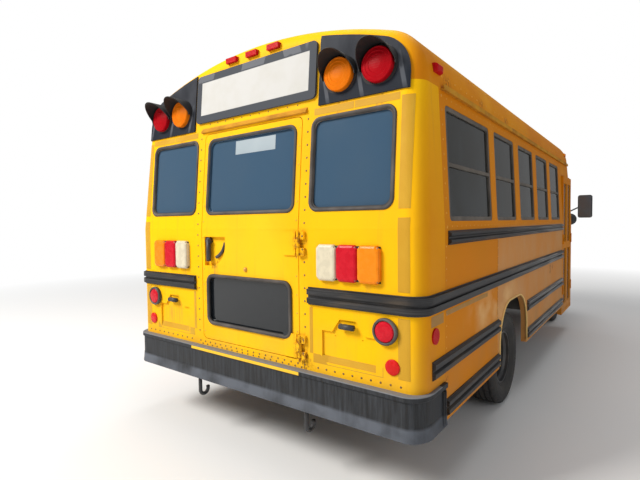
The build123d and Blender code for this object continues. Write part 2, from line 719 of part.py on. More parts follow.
def small_hinge(x, y, z, leaf, moving):
    """Half of an upright hinge: the middle knuckle if it moves, else the outer two with the pin, and a leaf."""
    half = SMALL_HINGE_LENGTH / 2
    third = SMALL_HINGE_LENGTH / 6
    spans = [(z - third, z + third)] if moving else [(z - half, z - third - 1), (z + third + 1, z + half)]
    knuckles = None
    for span in spans:
        piece = rod_z(x, y, span, SMALL_HINGE_RADIUS) + block(leaf[0], leaf[1], span)
        knuckles = piece if knuckles is None else knuckles + piece
    if moving:
        return knuckles - rod_z(x, y, (z - half, z + half), SMALL_HINGE_PIN + RUNNING_CLEARANCE)
    return knuckles + rod_z(x, y, (z - half, z + half), SMALL_HINGE_PIN)


def entry_leaf(side):
    """One half of the entry door: side -1 is the rear leaf, 1 the front leaf."""
    middle = (ENTRY_REAR_X + ENTRY_FRONT_X) / 2
    meeting = middle + side * LEAF_MEETING_GAP / 2
    outer = ENTRY_FRONT_X - DOOR_GAP - 1 if side > 0 else ENTRY_REAR_X + DOOR_GAP + 1
    x = sorted((meeting, outer))
    y = (-BODY_HALF_WIDTH, -BODY_HALF_WIDTH + LEAF_THICKNESS)
    z = (ENTRY_BOTTOM_Z + DOOR_GAP, ENTRY_TOP_Z - DOOR_GAP)
    leaf = plate_xz(rectangle((x[0], z[0]), (x[1], z[1])), y, 6)
    for glass_z in ENTRY_GLASS_Z:
        leaf -= plate_xz(rectangle((x[0] + ENTRY_STILE, glass_z[0]), (x[1] - ENTRY_STILE, glass_z[1])),
                         (y[0] - 1, y[1] + 1), 20)
    pivot = ENTRY_PIVOTS[1] if side > 0 else ENTRY_PIVOTS[0]
    plate = ((pivot[0], pivot[0] - side * SMALL_HINGE_LEAF), (ENTRY_HINGE_Y - 2, -BODY_HALF_WIDTH + 2))
    for hinge_z in ENTRY_HINGE_Z:
        leaf += small_hinge(pivot[0], ENTRY_HINGE_Y, hinge_z, plate, True)
    return leaf


def entry_glass(side):
    """Panes of one entry door leaf."""
    middle = (ENTRY_REAR_X + ENTRY_FRONT_X) / 2
    meeting = middle + side * LEAF_MEETING_GAP / 2
    outer = ENTRY_FRONT_X - DOOR_GAP - 1 if side > 0 else ENTRY_REAR_X + DOOR_GAP + 1
    x = sorted((meeting, outer))
    y = -BODY_HALF_WIDTH + LEAF_THICKNESS / 2
    panes = []
    for glass_z in ENTRY_GLASS_Z:
        low = (x[0] + ENTRY_STILE + FLAT_GAP, glass_z[0] + FLAT_GAP)
        high = (x[1] - ENTRY_STILE - FLAT_GAP, glass_z[1] - FLAT_GAP)
        panes += plate_xz(rectangle(low, high), (y - 3, y + 3), 20 - FLAT_GAP).solids()
    return Compound(panes)


# Floor, rails and running gear
def floor():
    """Floor plate from the rear wall to the firewall, with the rear wheel housings."""
    half = BODY_HALF_WIDTH - WALL
    deck = block((WALL, LEFT_WALL_END_X - WALL), (-half, half), (FLOOR_UNDER_Z, FLOOR_TOP_Z))
    deck &= body_hull(WALL)
    fore = block((LEFT_WALL_END_X - WALL, FIREWALL_X - CAB_WALL), (-CAB_HALF_WIDTH + CAB_WALL, CAB_HALF_WIDTH - CAB_WALL),
                 (FLOOR_UNDER_Z, FLOOR_TOP_Z))
    right = block((LEFT_WALL_END_X - WALL, PORTAL_FRONT_X - WALL), (-half, -CAB_HALF_WIDTH + WALL),
                  (FLOOR_UNDER_Z, FLOOR_TOP_Z))
    well = block((ENTRY_REAR_X - STEP_SKIN, ENTRY_FRONT_X + STEP_SKIN), (-FAR, -STEP_INNER_Y + STEP_SKIN), (0, FAR))
    deck = deck + fore + right - well
    deck = (deck - block((FOOT_X, FAR * 2), (-FAR, FAR), (0, FAR))) + foot_well()
    for side in (1, -1):
        deck = (deck - wheelhouse(side, 0.0)) + (wheelhouse(side, 0.0) - wheelhouse(side, WHEELHOUSE_SKIN))
    return deck


def foot_well():
    """Cab floor ahead of the doors: a middle strip, and a raised shelf over each front wheel."""
    front = SHIELD_BASE_X - CAB_WALL
    shelf_z = TYRE_RADIUS + FRONT_ARCH_RADIUS + 8
    plate = FOOT_SHELF
    half = CAB_HALF_WIDTH - CAB_WALL
    well = block((FOOT_X, front), (-FOOT_HALF, FOOT_HALF), (FLOOR_UNDER_Z, FLOOR_TOP_Z))
    for side in (1, -1):
        shelf = block((FOOT_X, front), sorted((side * FOOT_HALF, side * half)), (shelf_z, shelf_z + plate))
        wall = block((FOOT_X, front), sorted((side * (FOOT_HALF - plate), side * FOOT_HALF)),
                     (FLOOR_UNDER_Z, shelf_z + plate))
        reach = half if side > 0 else STEP_INNER_Y
        riser = block((FOOT_X - plate, FOOT_X), sorted((side * (FOOT_HALF - plate), side * reach)),
                      (FLOOR_UNDER_Z, shelf_z + plate))
        well = well + shelf + wall + riser
    return well & cab_hull(CAB_WALL)


FOOT_X = FRONT_AXLE_X - FRONT_ARCH_RADIUS


def wheelhouse(side, inset):
    """Box over a pair of rear wheels, open below and outwards."""
    x = (REAR_AXLE_X - ARCH_HALF - 10 + inset, REAR_AXLE_X + ARCH_HALF + 10 - inset)
    y = sorted((side * (WHEELHOUSE_INNER_Y + inset), side * (BODY_HALF_WIDTH - WALL)))
    top = ARCH_TOP_Z + WHEELHOUSE_RISE + WHEELHOUSE_SKIN - inset
    return block(x, y, (FLOOR_UNDER_Z, top))


def frame_rails():
    """Two channel rails and their cross-members."""
    rail_top = FLOOR_UNDER_Z
    rail_low = rail_top - FRAME_HEIGHT
    parts = []
    for side in (1, -1):
        y = sorted((side * (FRAME_Y - FRAME_WIDTH / 2), side * (FRAME_Y + FRAME_WIDTH / 2)))
        rail = block((FRAME_BACK_X, FRAME_FRONT_X), y, (rail_low, rail_top))
        hollow_y = sorted((side * 0, side * (FRAME_Y + FRAME_WIDTH / 2 - FRAME_WEB)))
        rail -= block((FRAME_BACK_X - 1, FRAME_FRONT_X + 1), hollow_y, (rail_low + FRAME_WEB, rail_top - FRAME_WEB))
        parts.append(rail)
    frame = parts[0] + parts[1]
    inner = FRAME_Y + FRAME_WIDTH / 2 - FRAME_WEB
    for x in CROSS_MEMBER_X:
        frame += block((x, x + 80), (-inner, inner), (rail_low + FRAME_WEB, rail_low + FRAME_HEIGHT / 2))
    return frame


def rear_axle():
    """Axle tube, differential housing, brake drums' backing plates and stubs."""
    z = TYRE_RADIUS
    stub_y = OUTER_TYRE_Y - DUAL_SPACING / 2 + REAR_HUB_LENGTH - HUB_CAP_SKIN - 1
    inner = OUTER_TYRE_Y - DUAL_SPACING - TYRE_WIDTH / 2
    tube = rod_y(REAR_AXLE_X, (-inner, inner), z, AXLE_TUBE_RADIUS)
    stubs = rod_y(REAR_AXLE_X, (-stub_y, stub_y), z, HUB_BORE_RADIUS - RUNNING_CLEARANCE)
    diff = Pos(REAR_AXLE_X, 0, z) * Sphere(DIFF_RADIUS)
    nose = rod_x((REAR_AXLE_X, REAR_AXLE_X + 240), 0, z, 48)
    axle = tube + stubs + diff + nose
    for side in (1, -1):
        low = side * (SPRING_Y - 40)
        high = side * (SPRING_Y + 40)
        axle += block((REAR_AXLE_X - 60, REAR_AXLE_X + 60), sorted((low, high)), (z, z + 62))
        drum_back = OUTER_TYRE_Y - DUAL_SPACING / 2 - DRUM_DEPTH
        plate = sorted((side * (drum_back - 22), side * (drum_back - 8)))
        axle += rod_y(REAR_AXLE_X, plate, z, DRUM_RADIUS + 5)
    return axle


def leaf_springs():
    """Rear leaf packs between their hangers, seated on the axle pads."""
    parts = []
    seat_z = TYRE_RADIUS + 62
    for side in (1, -1):
        y = sorted((side * (SPRING_Y - SPRING_WIDTH / 2), side * (SPRING_Y + SPRING_WIDTH / 2)))
        pack = None
        for index in range(4):
            half = SPRING_HALF_LENGTH * (1 - 0.2 * index)
            z = seat_z + (3 - index) * SPRING_LEAF
            leaf = block((REAR_AXLE_X - half, REAR_AXLE_X + half), y, (z, z + SPRING_LEAF))
            pack = leaf if pack is None else pack + leaf
        for end in (-1, 1):
            x = REAR_AXLE_X + end * SPRING_HALF_LENGTH
            eye = rod_y(x, y, seat_z + 3.5 * SPRING_LEAF, 22)
            hanger = block((x - 30, x + 30), y, (seat_z + 3.5 * SPRING_LEAF, FLOOR_UNDER_Z - 60))
            foot_y = sorted((side * (FRAME_Y + FRAME_WIDTH / 2), side * (SPRING_Y + SPRING_WIDTH / 2)))
            foot = block((x - 40, x + 40), foot_y, (FLOOR_UNDER_Z - 90, FLOOR_UNDER_Z - 60))
            pack = pack + eye + hanger + foot
        parts += pack.solids()
    return Compound(parts)


def front_axle():
    """Front beam axle with kingpin bosses, coil springs and their seats."""
    z = TYRE_RADIUS
    beam = block((FRONT_AXLE_X - 32, FRONT_AXLE_X + 32), (-KINGPIN_Y + 60, KINGPIN_Y - 60), (z - 75, z - 15))
    pin_z = (z - 92, z + 92)
    for side in (1, -1):
        y = side * KINGPIN_Y
        beam += rod_z(FRONT_AXLE_X, y, (z - 45, z + 45), 30)
        beam += rod_z(FRONT_AXLE_X, y, pin_z, KINGPIN_RADIUS)
        beam += block((FRONT_AXLE_X - 26, FRONT_AXLE_X + 26), sorted((side * (KINGPIN_Y - 110), side * KINGPIN_Y)),
                      (z - 45, z - 5))
        seat_y = side * FRAME_Y
        spring_top = FLOOR_UNDER_Z - FRAME_HEIGHT
        beam += rod_z(FRONT_AXLE_X, seat_y, (z - 15, spring_top), 52)
    return beam


def knuckle(side):
    """Steering knuckle: yoke about the kingpin boss, spindle and steering arm."""
    z = TYRE_RADIUS
    y = side * KINGPIN_Y
    web_y = side * (KINGPIN_Y + 46)
    clear = KINGPIN_RADIUS + RUNNING_CLEARANCE
    body = None
    for low, high in ((z - 80, z - 46), (z + 46, z + 80)):
        ear = rod_z(FRONT_AXLE_X, y, (low, high), 30) + block((FRONT_AXLE_X - 26, FRONT_AXLE_X + 26),
                                                              sorted((y, web_y)), (low, high))
        body = ear if body is None else body + ear
    body += block((FRONT_AXLE_X - 40, FRONT_AXLE_X + 40), sorted((side * (KINGPIN_Y + 34), web_y)), (z - 80, z + 80))
    spindle_end = side * (FRONT_TYRE_Y + FRONT_DISH + HUB_CAP_LENGTH - HUB_CAP_SKIN - 1)
    body += rod_y(FRONT_AXLE_X, sorted((web_y, spindle_end)), z, HUB_BORE_RADIUS - RUNNING_CLEARANCE)
    body += block((FRONT_AXLE_X - 140, FRONT_AXLE_X - 20), sorted((side * (KINGPIN_Y + 16), side * (KINGPIN_Y + 46))),
                  (z - 80, z - 56))
    return body - rod_z(FRONT_AXLE_X, y, (z - 120, z + 120), clear)


def tyre(x, y):
    """Tyre with its sidewalls, shoulders and three tread grooves, about an axle along Y."""
    half = TYRE_WIDTH / 2
    tread = half - 28
    middle_radius = (RIM_RADIUS + TYRE_RADIUS) / 2
    flank = [(RIM_RADIUS, BEAD_HALF), (RIM_RADIUS + FLANGE + 2, BEAD_HALF), (RIM_RADIUS + 34, half - 12),
             (middle_radius, half), (TYRE_RADIUS - 40, half - 8), (TYRE_RADIUS - 8, tread + 6), (TYRE_RADIUS, tread)]
    points = [(radius, -y_out) for radius, y_out in flank]
    for middle in (-tread / 2, 0, tread / 2):
        low, high = middle - TREAD_GROOVE / 2, middle + TREAD_GROOVE / 2
        points += [(TYRE_RADIUS, low), (TYRE_RADIUS - TREAD_GROOVE, low), (TYRE_RADIUS - TREAD_GROOVE, high),
                   (TYRE_RADIUS, high)]
    points += reversed(flank)
    return turned(points, x, y, TYRE_RADIUS)


def rim(x, y, side, dish):
    """Steel wheel: barrel with bead seats and flanges, and a disc dished by dish towards side."""
    skin = RIM_SKIN
    well = RIM_RADIUS - WELL_DEPTH
    outer = [(RIM_RADIUS + FLANGE, BEAD_HALF + skin), (RIM_RADIUS + FLANGE, BEAD_HALF), (RIM_RADIUS, BEAD_HALF),
             (RIM_RADIUS, BEAD_HALF - BEAD_SEAT), (well, BEAD_HALF - BEAD_SEAT - WELL_DEPTH)]
    inner = [(RIM_RADIUS - skin, BEAD_HALF + skin), (RIM_RADIUS - skin, BEAD_HALF - BEAD_SEAT - 2),
             (well - skin, BEAD_HALF - BEAD_SEAT - WELL_DEPTH - 2)]
    barrel = [(radius, out) for radius, out in outer] + [(radius, -out) for radius, out in reversed(outer)]
    barrel += [(radius, -out) for radius, out in inner] + [(radius, out) for radius, out in reversed(inner)]
    edge = BEAD_HALF - BEAD_SEAT - WELL_DEPTH - 20
    disc = [(HUB_BORE_RADIUS, dish - DISC_THICKNESS), (DISC_FLAT_RADIUS, dish - DISC_THICKNESS),
            (well - skin + 1, edge - DISC_THICKNESS), (well - skin + 1, edge), (DISC_FLAT_RADIUS + 6, dish),
            (HUB_BORE_RADIUS, dish)]
    disc = [(radius, side * out) for radius, out in disc]
    wheel = turned(barrel, x, y, TYRE_RADIUS) + turned(disc, x, y, TYRE_RADIUS)
    for index in range(HAND_HOLES):
        angle = 2 * math.pi * index / HAND_HOLES
        hole = rod_y(x + HAND_HOLE_CIRCLE * math.cos(angle), (y - dish - 20, y + dish + 20),
                     TYRE_RADIUS + HAND_HOLE_CIRCLE * math.sin(angle), HAND_HOLE_RADIUS)
        wheel -= hole
    return wheel


def hub_turned(points, x, y, side):
    """Hub profile, given outwards from its own zero, on either side of the bus."""
    return turned([(radius, side * out) for radius, out in points], x, y, TYRE_RADIUS)


def front_wheel(side):
    """Front wheel and its hub, closed by a dust cap."""
    y = side * FRONT_TYRE_Y
    bore = HUB_BORE_RADIUS
    end = FRONT_DISH + HUB_CAP_LENGTH
    hub = [(bore, FRONT_HUB_BACK), (HUB_RADIUS, FRONT_HUB_BACK), (HUB_RADIUS, FRONT_DISH), (HUB_CAP_RADIUS, FRONT_DISH + 8),
           (HUB_CAP_RADIUS - 6, end), (0, end), (0, end - HUB_CAP_SKIN), (bore, end - HUB_CAP_SKIN)]
    return rim(FRONT_AXLE_X, y, side, FRONT_DISH) + hub_turned(hub, FRONT_AXLE_X, y, side)


def rear_wheels(side):
    """Twin rear wheels with their discs back to back, brake drum and hub."""
    outer = side * OUTER_TYRE_Y
    inner = side * (OUTER_TYRE_Y - DUAL_SPACING)
    middle = side * (OUTER_TYRE_Y - DUAL_SPACING / 2)
    wheel = rim(REAR_AXLE_X, outer, -side, DUAL_SPACING / 2) + rim(REAR_AXLE_X, inner, side, DUAL_SPACING / 2)
    bore = HUB_BORE_RADIUS
    end = REAR_HUB_LENGTH
    hub = [(bore, -DRUM_DEPTH), (DRUM_RADIUS, -DRUM_DEPTH), (DRUM_RADIUS, -DISC_THICKNESS), (HUB_CAP_RADIUS + 20, 0),
           (HUB_CAP_RADIUS + 20, 30), (HUB_CAP_RADIUS, end), (0, end), (0, end - HUB_CAP_SKIN), (bore, end - HUB_CAP_SKIN)]
    return wheel + hub_turned(hub, REAR_AXLE_X, middle, side)


def rear_tyres(side):
    """Two rear tyres that don't touch."""
    outer = tyre(REAR_AXLE_X, side * OUTER_TYRE_Y)
    inner = tyre(REAR_AXLE_X, side * (OUTER_TYRE_Y - DUAL_SPACING))
    return Compound(outer.solids() + inner.solids())


def drive_shaft():
    """Shaft from the gearbox to the differential."""
    return rod_x((REAR_AXLE_X + 240, 4300), 0, TYRE_RADIUS, 38)


def fuel_tank():
    """Fuel tank between the rails behind the rear axle."""
    tank = block((330, 1130), (-330, 330), (400, FLOOR_UNDER_Z - 12))
    tank = fillet(tank.edges().filter_by(Axis.Y), 50)
    straps = block((500, 540), (-330, 330), (FLOOR_UNDER_Z - 12, FLOOR_UNDER_Z))
    straps += block((920, 960), (-330, 330), (FLOOR_UNDER_Z - 12, FLOOR_UNDER_Z))
    return tank + straps


def exhaust():
    """Silencer and tail pipe along the right rail."""
    y = -700
    z = 560
    silencer = rod_x((2700, 3400), y, z, 85)
    pipe = rod_x((2300, 4150), y, z, 28)
    hangers = block((2740, 2770), (y - 12, y + 12), (z, FLOOR_UNDER_Z)) + block((3330, 3360), (y - 12, y + 12),
                                                                               (z, FLOOR_UNDER_Z))
    return silencer + pipe + hangers


def engine():
    """Engine and gearbox as one plain mass between the rails."""
    power = block((5295, 5800), (-300, 300), (FLOOR_UNDER_Z - FRAME_HEIGHT, 1050))
    gearbox = block((4700, 5295), (-170, 170), (400, FLOOR_UNDER_Z - 4))
    tail = block((4300, 4700), (-110, 110), (TYRE_RADIUS - 44, 600))
    mounts = block((5450, 5550), (-FRAME_Y - 20, FRAME_Y + 20), (FLOOR_UNDER_Z, FLOOR_UNDER_Z + 40))
    return power + gearbox + tail + mounts


# Cab
def cab_hull(inset):
    """Van cab: straight lower sides, and a glasshouse that leans in."""
    def section(z, half, front, radius):
        back = LEFT_WALL_END_X - 2 * CAB_CORNER_RADIUS
        width = front - inset - back
        outline = RectangleRounded(width, 2 * (half - inset), radius)
        return (Pos(back + width / 2, 0, z) * outline).face()

    low = section(CAB_BOTTOM_Z, CAB_HALF_WIDTH, SHIELD_BASE_X, CAB_CORNER_RADIUS - inset)
    lower = extrude(low, CAB_BELT_Z - CAB_BOTTOM_Z)
    belt = section(CAB_BELT_Z, CAB_HALF_WIDTH, SHIELD_BASE_X, CAB_CORNER_RADIUS - inset)
    head = section(CAB_HEADER_Z, CAB_TOP_HALF_WIDTH, SHIELD_TOP_X, CAB_CORNER_RADIUS - inset)
    return lower + loft([belt, head], ruled=True)


CAB_OUTER = cab_hull(0.0)
CAB_SHELL = CAB_OUTER - cab_hull(CAB_WALL)
DOOR_OUTLINE = [(DOOR_REAR_X, DOOR_BOTTOM_Z), (DOOR_FRONT_X, DOOR_BOTTOM_Z), (DOOR_FRONT_X, 1480.0),
                (DOOR_SHOULDER_X, DOOR_TOP_Z), (DOOR_REAR_X, DOOR_TOP_Z)]
DOOR_GLASS_OUTLINE = [(DOOR_REAR_X + 80, CAB_BELT_Z + 50), (DOOR_FRONT_X - 70, CAB_BELT_Z + 50),
                      (DOOR_FRONT_X - 70, 1450.0), (DOOR_SHOULDER_X - 40, DOOR_TOP_Z - 60),
                      (DOOR_REAR_X + 80, DOOR_TOP_Z - 60)]
CAB_SIDE = (CAB_TOP_HALF_WIDTH - 150, CAB_HALF_WIDTH + 100)


def windscreen_cutter(margin):
    """Windscreen opening, cut forwards."""
    low_half = CAB_HALF_WIDTH - SHIELD_MARGIN - margin
    high_half = CAB_TOP_HALF_WIDTH - SHIELD_MARGIN - margin
    low = CAB_BELT_Z + 50 + margin
    high = CAB_HEADER_Z - 90 - margin
    return plate_yz([(-low_half, low), (low_half, low), (high_half, high), (-high_half, high)],
                    (SHIELD_TOP_X - 60, SHIELD_BASE_X + 100), 60 - margin)


QUARTER_OUTLINE = [(4935.0, CAB_BELT_Z + 50), (5130.0, CAB_BELT_Z + 50), (4935.0, 1700.0)]


def cab_shell():
    """Cab structure: windscreen frame, pillars, cowl, firewall, rocker and rear post."""
    shell = CAB_SHELL & block((LEFT_WALL_END_X, FAR * 2), (-FAR, FAR), (CAB_BOTTOM_Z, CAB_HEADER_Z))
    shell -= block((0, PORTAL_FRONT_X), (-FAR, -CAB_TOP_HALF_WIDTH + 160), (0, FAR))
    shell -= plate_xz(DOOR_OUTLINE, CAB_SIDE, 30)
    shell -= windscreen_cutter(0.0)
    shell -= plate_xz(QUARTER_OUTLINE, (-CAB_HALF_WIDTH - 100, -CAB_TOP_HALF_WIDTH + 150), 12)
    shell -= block((FENDER_REAR_X, FAR * 2), (-FAR, FAR), (0, FLOOR_UNDER_Z))
    shell -= rod_y(FRONT_AXLE_X, (-FAR, FAR), TYRE_RADIUS, FRONT_ARCH_RADIUS)
    return shell + hood_hinge(HOOD_HINGE_Y, False) + hood_hinge(-HOOD_HINGE_Y, False)


def cab_glass():
    """Windscreen and the fixed pane beside the entry door."""
    skin = cab_hull(10.0) - cab_hull(16.0)
    screen = skin & windscreen_cutter(FLAT_GAP)
    quarter = skin & plate_xz(QUARTER_OUTLINE, (-CAB_HALF_WIDTH - 100, -CAB_TOP_HALF_WIDTH + 150), 12 - FLAT_GAP,
                              -FLAT_GAP)
    return Compound(screen.solids() + quarter.solids())


def driver_door():
    """Driver's door leaf, its window cut, with hinge knuckles."""
    leaf = CAB_SHELL & plate_xz(DOOR_OUTLINE, CAB_SIDE, 30 - CAB_DOOR_GAP, -CAB_DOOR_GAP)
    leaf -= plate_xz(DOOR_GLASS_OUTLINE, CAB_SIDE, 30)
    plate = ((DOOR_FRONT_X - SMALL_HINGE_LEAF, DOOR_FRONT_X), (CAB_HALF_WIDTH - 1, CAB_DOOR_HINGE_Y - 3))
    for z in CAB_DOOR_HINGE_Z:
        leaf += small_hinge(DOOR_FRONT_X, CAB_DOOR_HINGE_Y, z, plate, True)
    return leaf


def driver_door_glass():
    """Driver's window."""
    skin = cab_hull(14.0) - cab_hull(19.0)
    return skin & plate_xz(DOOR_GLASS_OUTLINE, CAB_SIDE, 30 - FLAT_GAP, -FLAT_GAP)


def fender(side):
    """Front wing with its round arch, from the door to the nose."""
    rear = FENDER_REAR_X if side > 0 else PORTAL_FRONT_X + FLAT_GAP
    outline = [(rear, BODY_BOTTOM_Z + 40), (NOSE_X - 64, BODY_BOTTOM_Z + 220), (NOSE_X - 44, 1050.0),
               (NOSE_X - 120, HOOD_FRONT_Z - 10), (SHIELD_BASE_X, CAB_BELT_Z - 20), (rear, CAB_BELT_Z - 20)]
    y = sorted((side * (CAB_HALF_WIDTH + 3), side * (HOOD_HALF_FRONT + HOOD_SIDE_GAP)))
    solid = plate_xz(outline, y, 0)
    inner = [(rear - 1, 0.0), (NOSE_X - 90, 0.0), (NOSE_X - 90, 1040.0), (NOSE_X - 150, HOOD_FRONT_Z - 40),
             (SHIELD_BASE_X, CAB_BELT_Z - 45), (rear - 1, CAB_BELT_Z - 45)]
    hollow_y = sorted((side * (CAB_HALF_WIDTH + 3 - FENDER_WALL), 0))
    solid -= plate_xz(inner, hollow_y, 0)
    solid -= rod_y(FRONT_AXLE_X, sorted((side * 0, side * (CAB_HALF_WIDTH + 50))), TYRE_RADIUS, FRONT_ARCH_RADIUS)
    solid -= cab_hull(-FLAT_GAP)
    if side > 0:
        plate = ((DOOR_FRONT_X, DOOR_FRONT_X + SMALL_HINGE_LEAF), (CAB_HALF_WIDTH + 2, CAB_DOOR_HINGE_Y - 3))
        for z in CAB_DOOR_HINGE_Z:
            solid += small_hinge(DOOR_FRONT_X, CAB_DOOR_HINGE_Y, z, plate, False)
    return solid


def hood_hinge(y, moving):
    """Half of a hood hinge on the cowl, its pin along Y."""
    x = SHIELD_BASE_X + SMALL_HINGE_RADIUS
    z = HOOD_REAR_Z - 2
    half = HOOD_HINGE_LENGTH / 2
    third = HOOD_HINGE_LENGTH / 6
    radius = SMALL_HINGE_RADIUS - 1
    reach = (x, SHIELD_BASE_X + HOOD_COWL_GAP + 1) if moving else (SHIELD_BASE_X - 1, x)
    spans = [(y - third, y + third)] if moving else [(y - half, y - third - 1), (y + third + 1, y + half)]
    knuckles = None
    for span in spans:
        piece = rod_y(x, span, z, radius) + block(reach, span, (z - 4, z + 1))
        knuckles = piece if knuckles is None else knuckles + piece
    if moving:
        return knuckles - rod_y(x, (y - half, y + half), z, SMALL_HINGE_PIN + RUNNING_CLEARANCE)
    return knuckles + rod_y(x, (y - half, y + half), z, SMALL_HINGE_PIN)


def hood():
    """Engine hood: a shallow shell that falls to the nose."""
    rear = SHIELD_BASE_X + HOOD_COWL_GAP
    front = NOSE_X - 45
    outer = [(rear, HOOD_REAR_Z - 60), (rear, HOOD_REAR_Z), (front - 160, HOOD_FRONT_Z + 20), (front, HOOD_FRONT_Z - 60),
             (front, HOOD_FRONT_Z - 90)]
    solid = plate_xz(outer, (-HOOD_HALF_FRONT, HOOD_HALF_FRONT))
    inner = [(rear + HOOD_THICKNESS, HOOD_REAR_Z - 200), (rear + HOOD_THICKNESS, HOOD_REAR_Z - HOOD_THICKNESS),
             (front - 165, HOOD_FRONT_Z - 4), (front - HOOD_THICKNESS, HOOD_FRONT_Z - 72),
             (front - HOOD_THICKNESS, HOOD_FRONT_Z - 200)]
    solid -= plate_xz(inner, (-HOOD_HALF_FRONT + HOOD_THICKNESS, HOOD_HALF_FRONT - HOOD_THICKNESS))
    return solid + hood_hinge(HOOD_HINGE_Y, True) + hood_hinge(-HOOD_HINGE_Y, True)


def grille():
    """Nose panel with the grille opening and its bars."""
    back = NOSE_X - 88
    panel = block((back, back + 40), (-HOOD_HALF_FRONT - HOOD_SIDE_GAP + FLAT_GAP, HOOD_HALF_FRONT + HOOD_SIDE_GAP - FLAT_GAP), (GRILLE_BOTTOM_Z, HOOD_FRONT_Z - 96))
    opening = block((back - 1, back + 41), (-GRILLE_HALF, GRILLE_HALF), (GRILLE_BOTTOM_Z + 60, HOOD_FRONT_Z - 130))
    panel -= opening
    height = HOOD_FRONT_Z - 130 - GRILLE_BOTTOM_Z - 60
    for index in range(1, GRILLE_BARS):
        z = GRILLE_BOTTOM_Z + 60 + index * height / GRILLE_BARS
        panel += block((back + 8, back + 34), (-GRILLE_HALF, GRILLE_HALF), (z - 7, z + 7))
    return panel


def headlamps():
    """Rectangular headlamps beside the grille."""
    x = (NOSE_X - 48 + FLAT_GAP, NOSE_X - 18)
    y = (GRILLE_HALF + 30, HOOD_HALF_FRONT - 10)
    lamp = block(x, y, (GRILLE_BOTTOM_Z + 110, GRILLE_BOTTOM_Z + 290))
    turn = block(x, y, (GRILLE_BOTTOM_Z + 30, GRILLE_BOTTOM_Z + 95))
    one = fillet(lamp.edges().filter_by(Axis.X), 18).solids() + fillet(turn.edges().filter_by(Axis.X), 12).solids()
    return both_sides(Compound(one))


def front_bumper():
    """Front bumper: a bent channel across the nose, on two brackets."""
    low, high = FRONT_BUMPER_BOTTOM_Z, FRONT_BUMPER_TOP_Z
    x = FRONT_BUMPER_X
    outline = [(x - 230, -FRONT_BUMPER_HALF), (x - 90, -FRONT_BUMPER_HALF), (x, -FRONT_BUMPER_HALF + 170),
               (x, FRONT_BUMPER_HALF - 170), (x - 90, FRONT_BUMPER_HALF), (x - 230, FRONT_BUMPER_HALF)]
    face = make_face(Polyline(*outline, close=True))
    solid = Pos(0, 0, low) * extrude(face, high - low)
    inner = [(px - 10, py * (1 - 10 / FRONT_BUMPER_HALF)) for px, py in outline]
    hollow = make_face(Polyline((x - 300, inner[0][1]), *inner[1:5], (x - 300, inner[5][1]), close=True))
    solid -= Pos(0, 0, low - 1) * extrude(hollow, high - low + 2)
    for side in (1, -1):
        y = sorted((side * (FRAME_Y - FRAME_WIDTH / 2), side * (FRAME_Y + FRAME_WIDTH / 2)))
        solid += block((FRAME_FRONT_X + FLAT_GAP, x - 9), y, (FLOOR_UNDER_Z - FRAME_HEIGHT, high))
    return solid


def dashboard():
    """Dashboard with the steering column and wheel, which is a small control and has no joint."""
    half = CAB_HALF_WIDTH - CAB_WALL - 10
    top = plate_xz([(4990.0, 1150.0), (5215.0, 1200.0), (5215.0, 1290.0), (5010.0, 1290.0), (4940.0, 1230.0)],
                   (-half, half), 18)
    top &= cab_hull(CAB_WALL + FLAT_GAP)
    seat = Pos(COLUMN_X, STEERING_Y, COLUMN_Z) * Rot(0, COLUMN_TILT, 0)
    column = seat * Cylinder(22, COLUMN_LENGTH, align=(Align.CENTER, Align.CENTER, Align.MIN))
    wheel = Torus(190, 14) + Box(370, 26, 14) + Cylinder(40, 30)
    return top + column + seat * Pos(0, 0, COLUMN_LENGTH) * wheel


def driver_seat():
    """Driver's seat on its pedestal."""
    x = 4290.0
    base = block((x + 60, x + 400), (STEERING_Y - 150, STEERING_Y + 150), (FLOOR_TOP_Z, 1010))
    cushion = block((x, x + 480), (STEERING_Y - 240, STEERING_Y + 240), (1010, 1130))
    back = block((x - 90, x), (STEERING_Y - 230, STEERING_Y + 230), (1040, 1750))
    return base + cushion + back


def bench_seats():
    """Upholstered benches on both sides of the aisle."""
    inner_wall = BODY_HALF_WIDTH - side_lean(SEAT_BACK_TOP_Z) - WALL - SEAT_WALL_GAP
    parts = []
    for row in range(SEAT_ROWS):
        x = SEAT_FIRST_X + row * SEAT_PITCH
        cushion = block((x, x + SEAT_DEPTH), (inner_wall - SEAT_WIDTH, inner_wall), (SEAT_TOP_Z - SEAT_CUSHION, SEAT_TOP_Z))
        back = block((x - SEAT_BACK_THICKNESS, x), (inner_wall - SEAT_WIDTH, inner_wall),
                     (SEAT_TOP_Z - SEAT_CUSHION, SEAT_BACK_TOP_Z))
        parts += (cushion + back).solids()
    one = Compound(parts)
    return both_sides(one)


def seat_frames():
    """Steel legs of the benches."""
    inner_wall = BODY_HALF_WIDTH - side_lean(SEAT_BACK_TOP_Z) - WALL - SEAT_WALL_GAP
    parts = []
    for row in range(SEAT_ROWS):
        x = SEAT_FIRST_X + row * SEAT_PITCH
        aisle = inner_wall - SEAT_WIDTH + 60
        for y in (aisle, inner_wall - 60):
            base = FLOOR_TOP_Z
            if x + SEAT_DEPTH > REAR_AXLE_X - ARCH_HALF - 10 and x < REAR_AXLE_X + ARCH_HALF + 10 and y > WHEELHOUSE_INNER_Y:
                base = ARCH_TOP_Z + WHEELHOUSE_RISE + WHEELHOUSE_SKIN
            for leg_x in (x + 20, x + SEAT_DEPTH - 50):
                parts += block((leg_x, leg_x + 30), (y - 15, y + 15), (base, SEAT_TOP_Z - SEAT_CUSHION)).solids()
    return both_sides(Compound(parts))


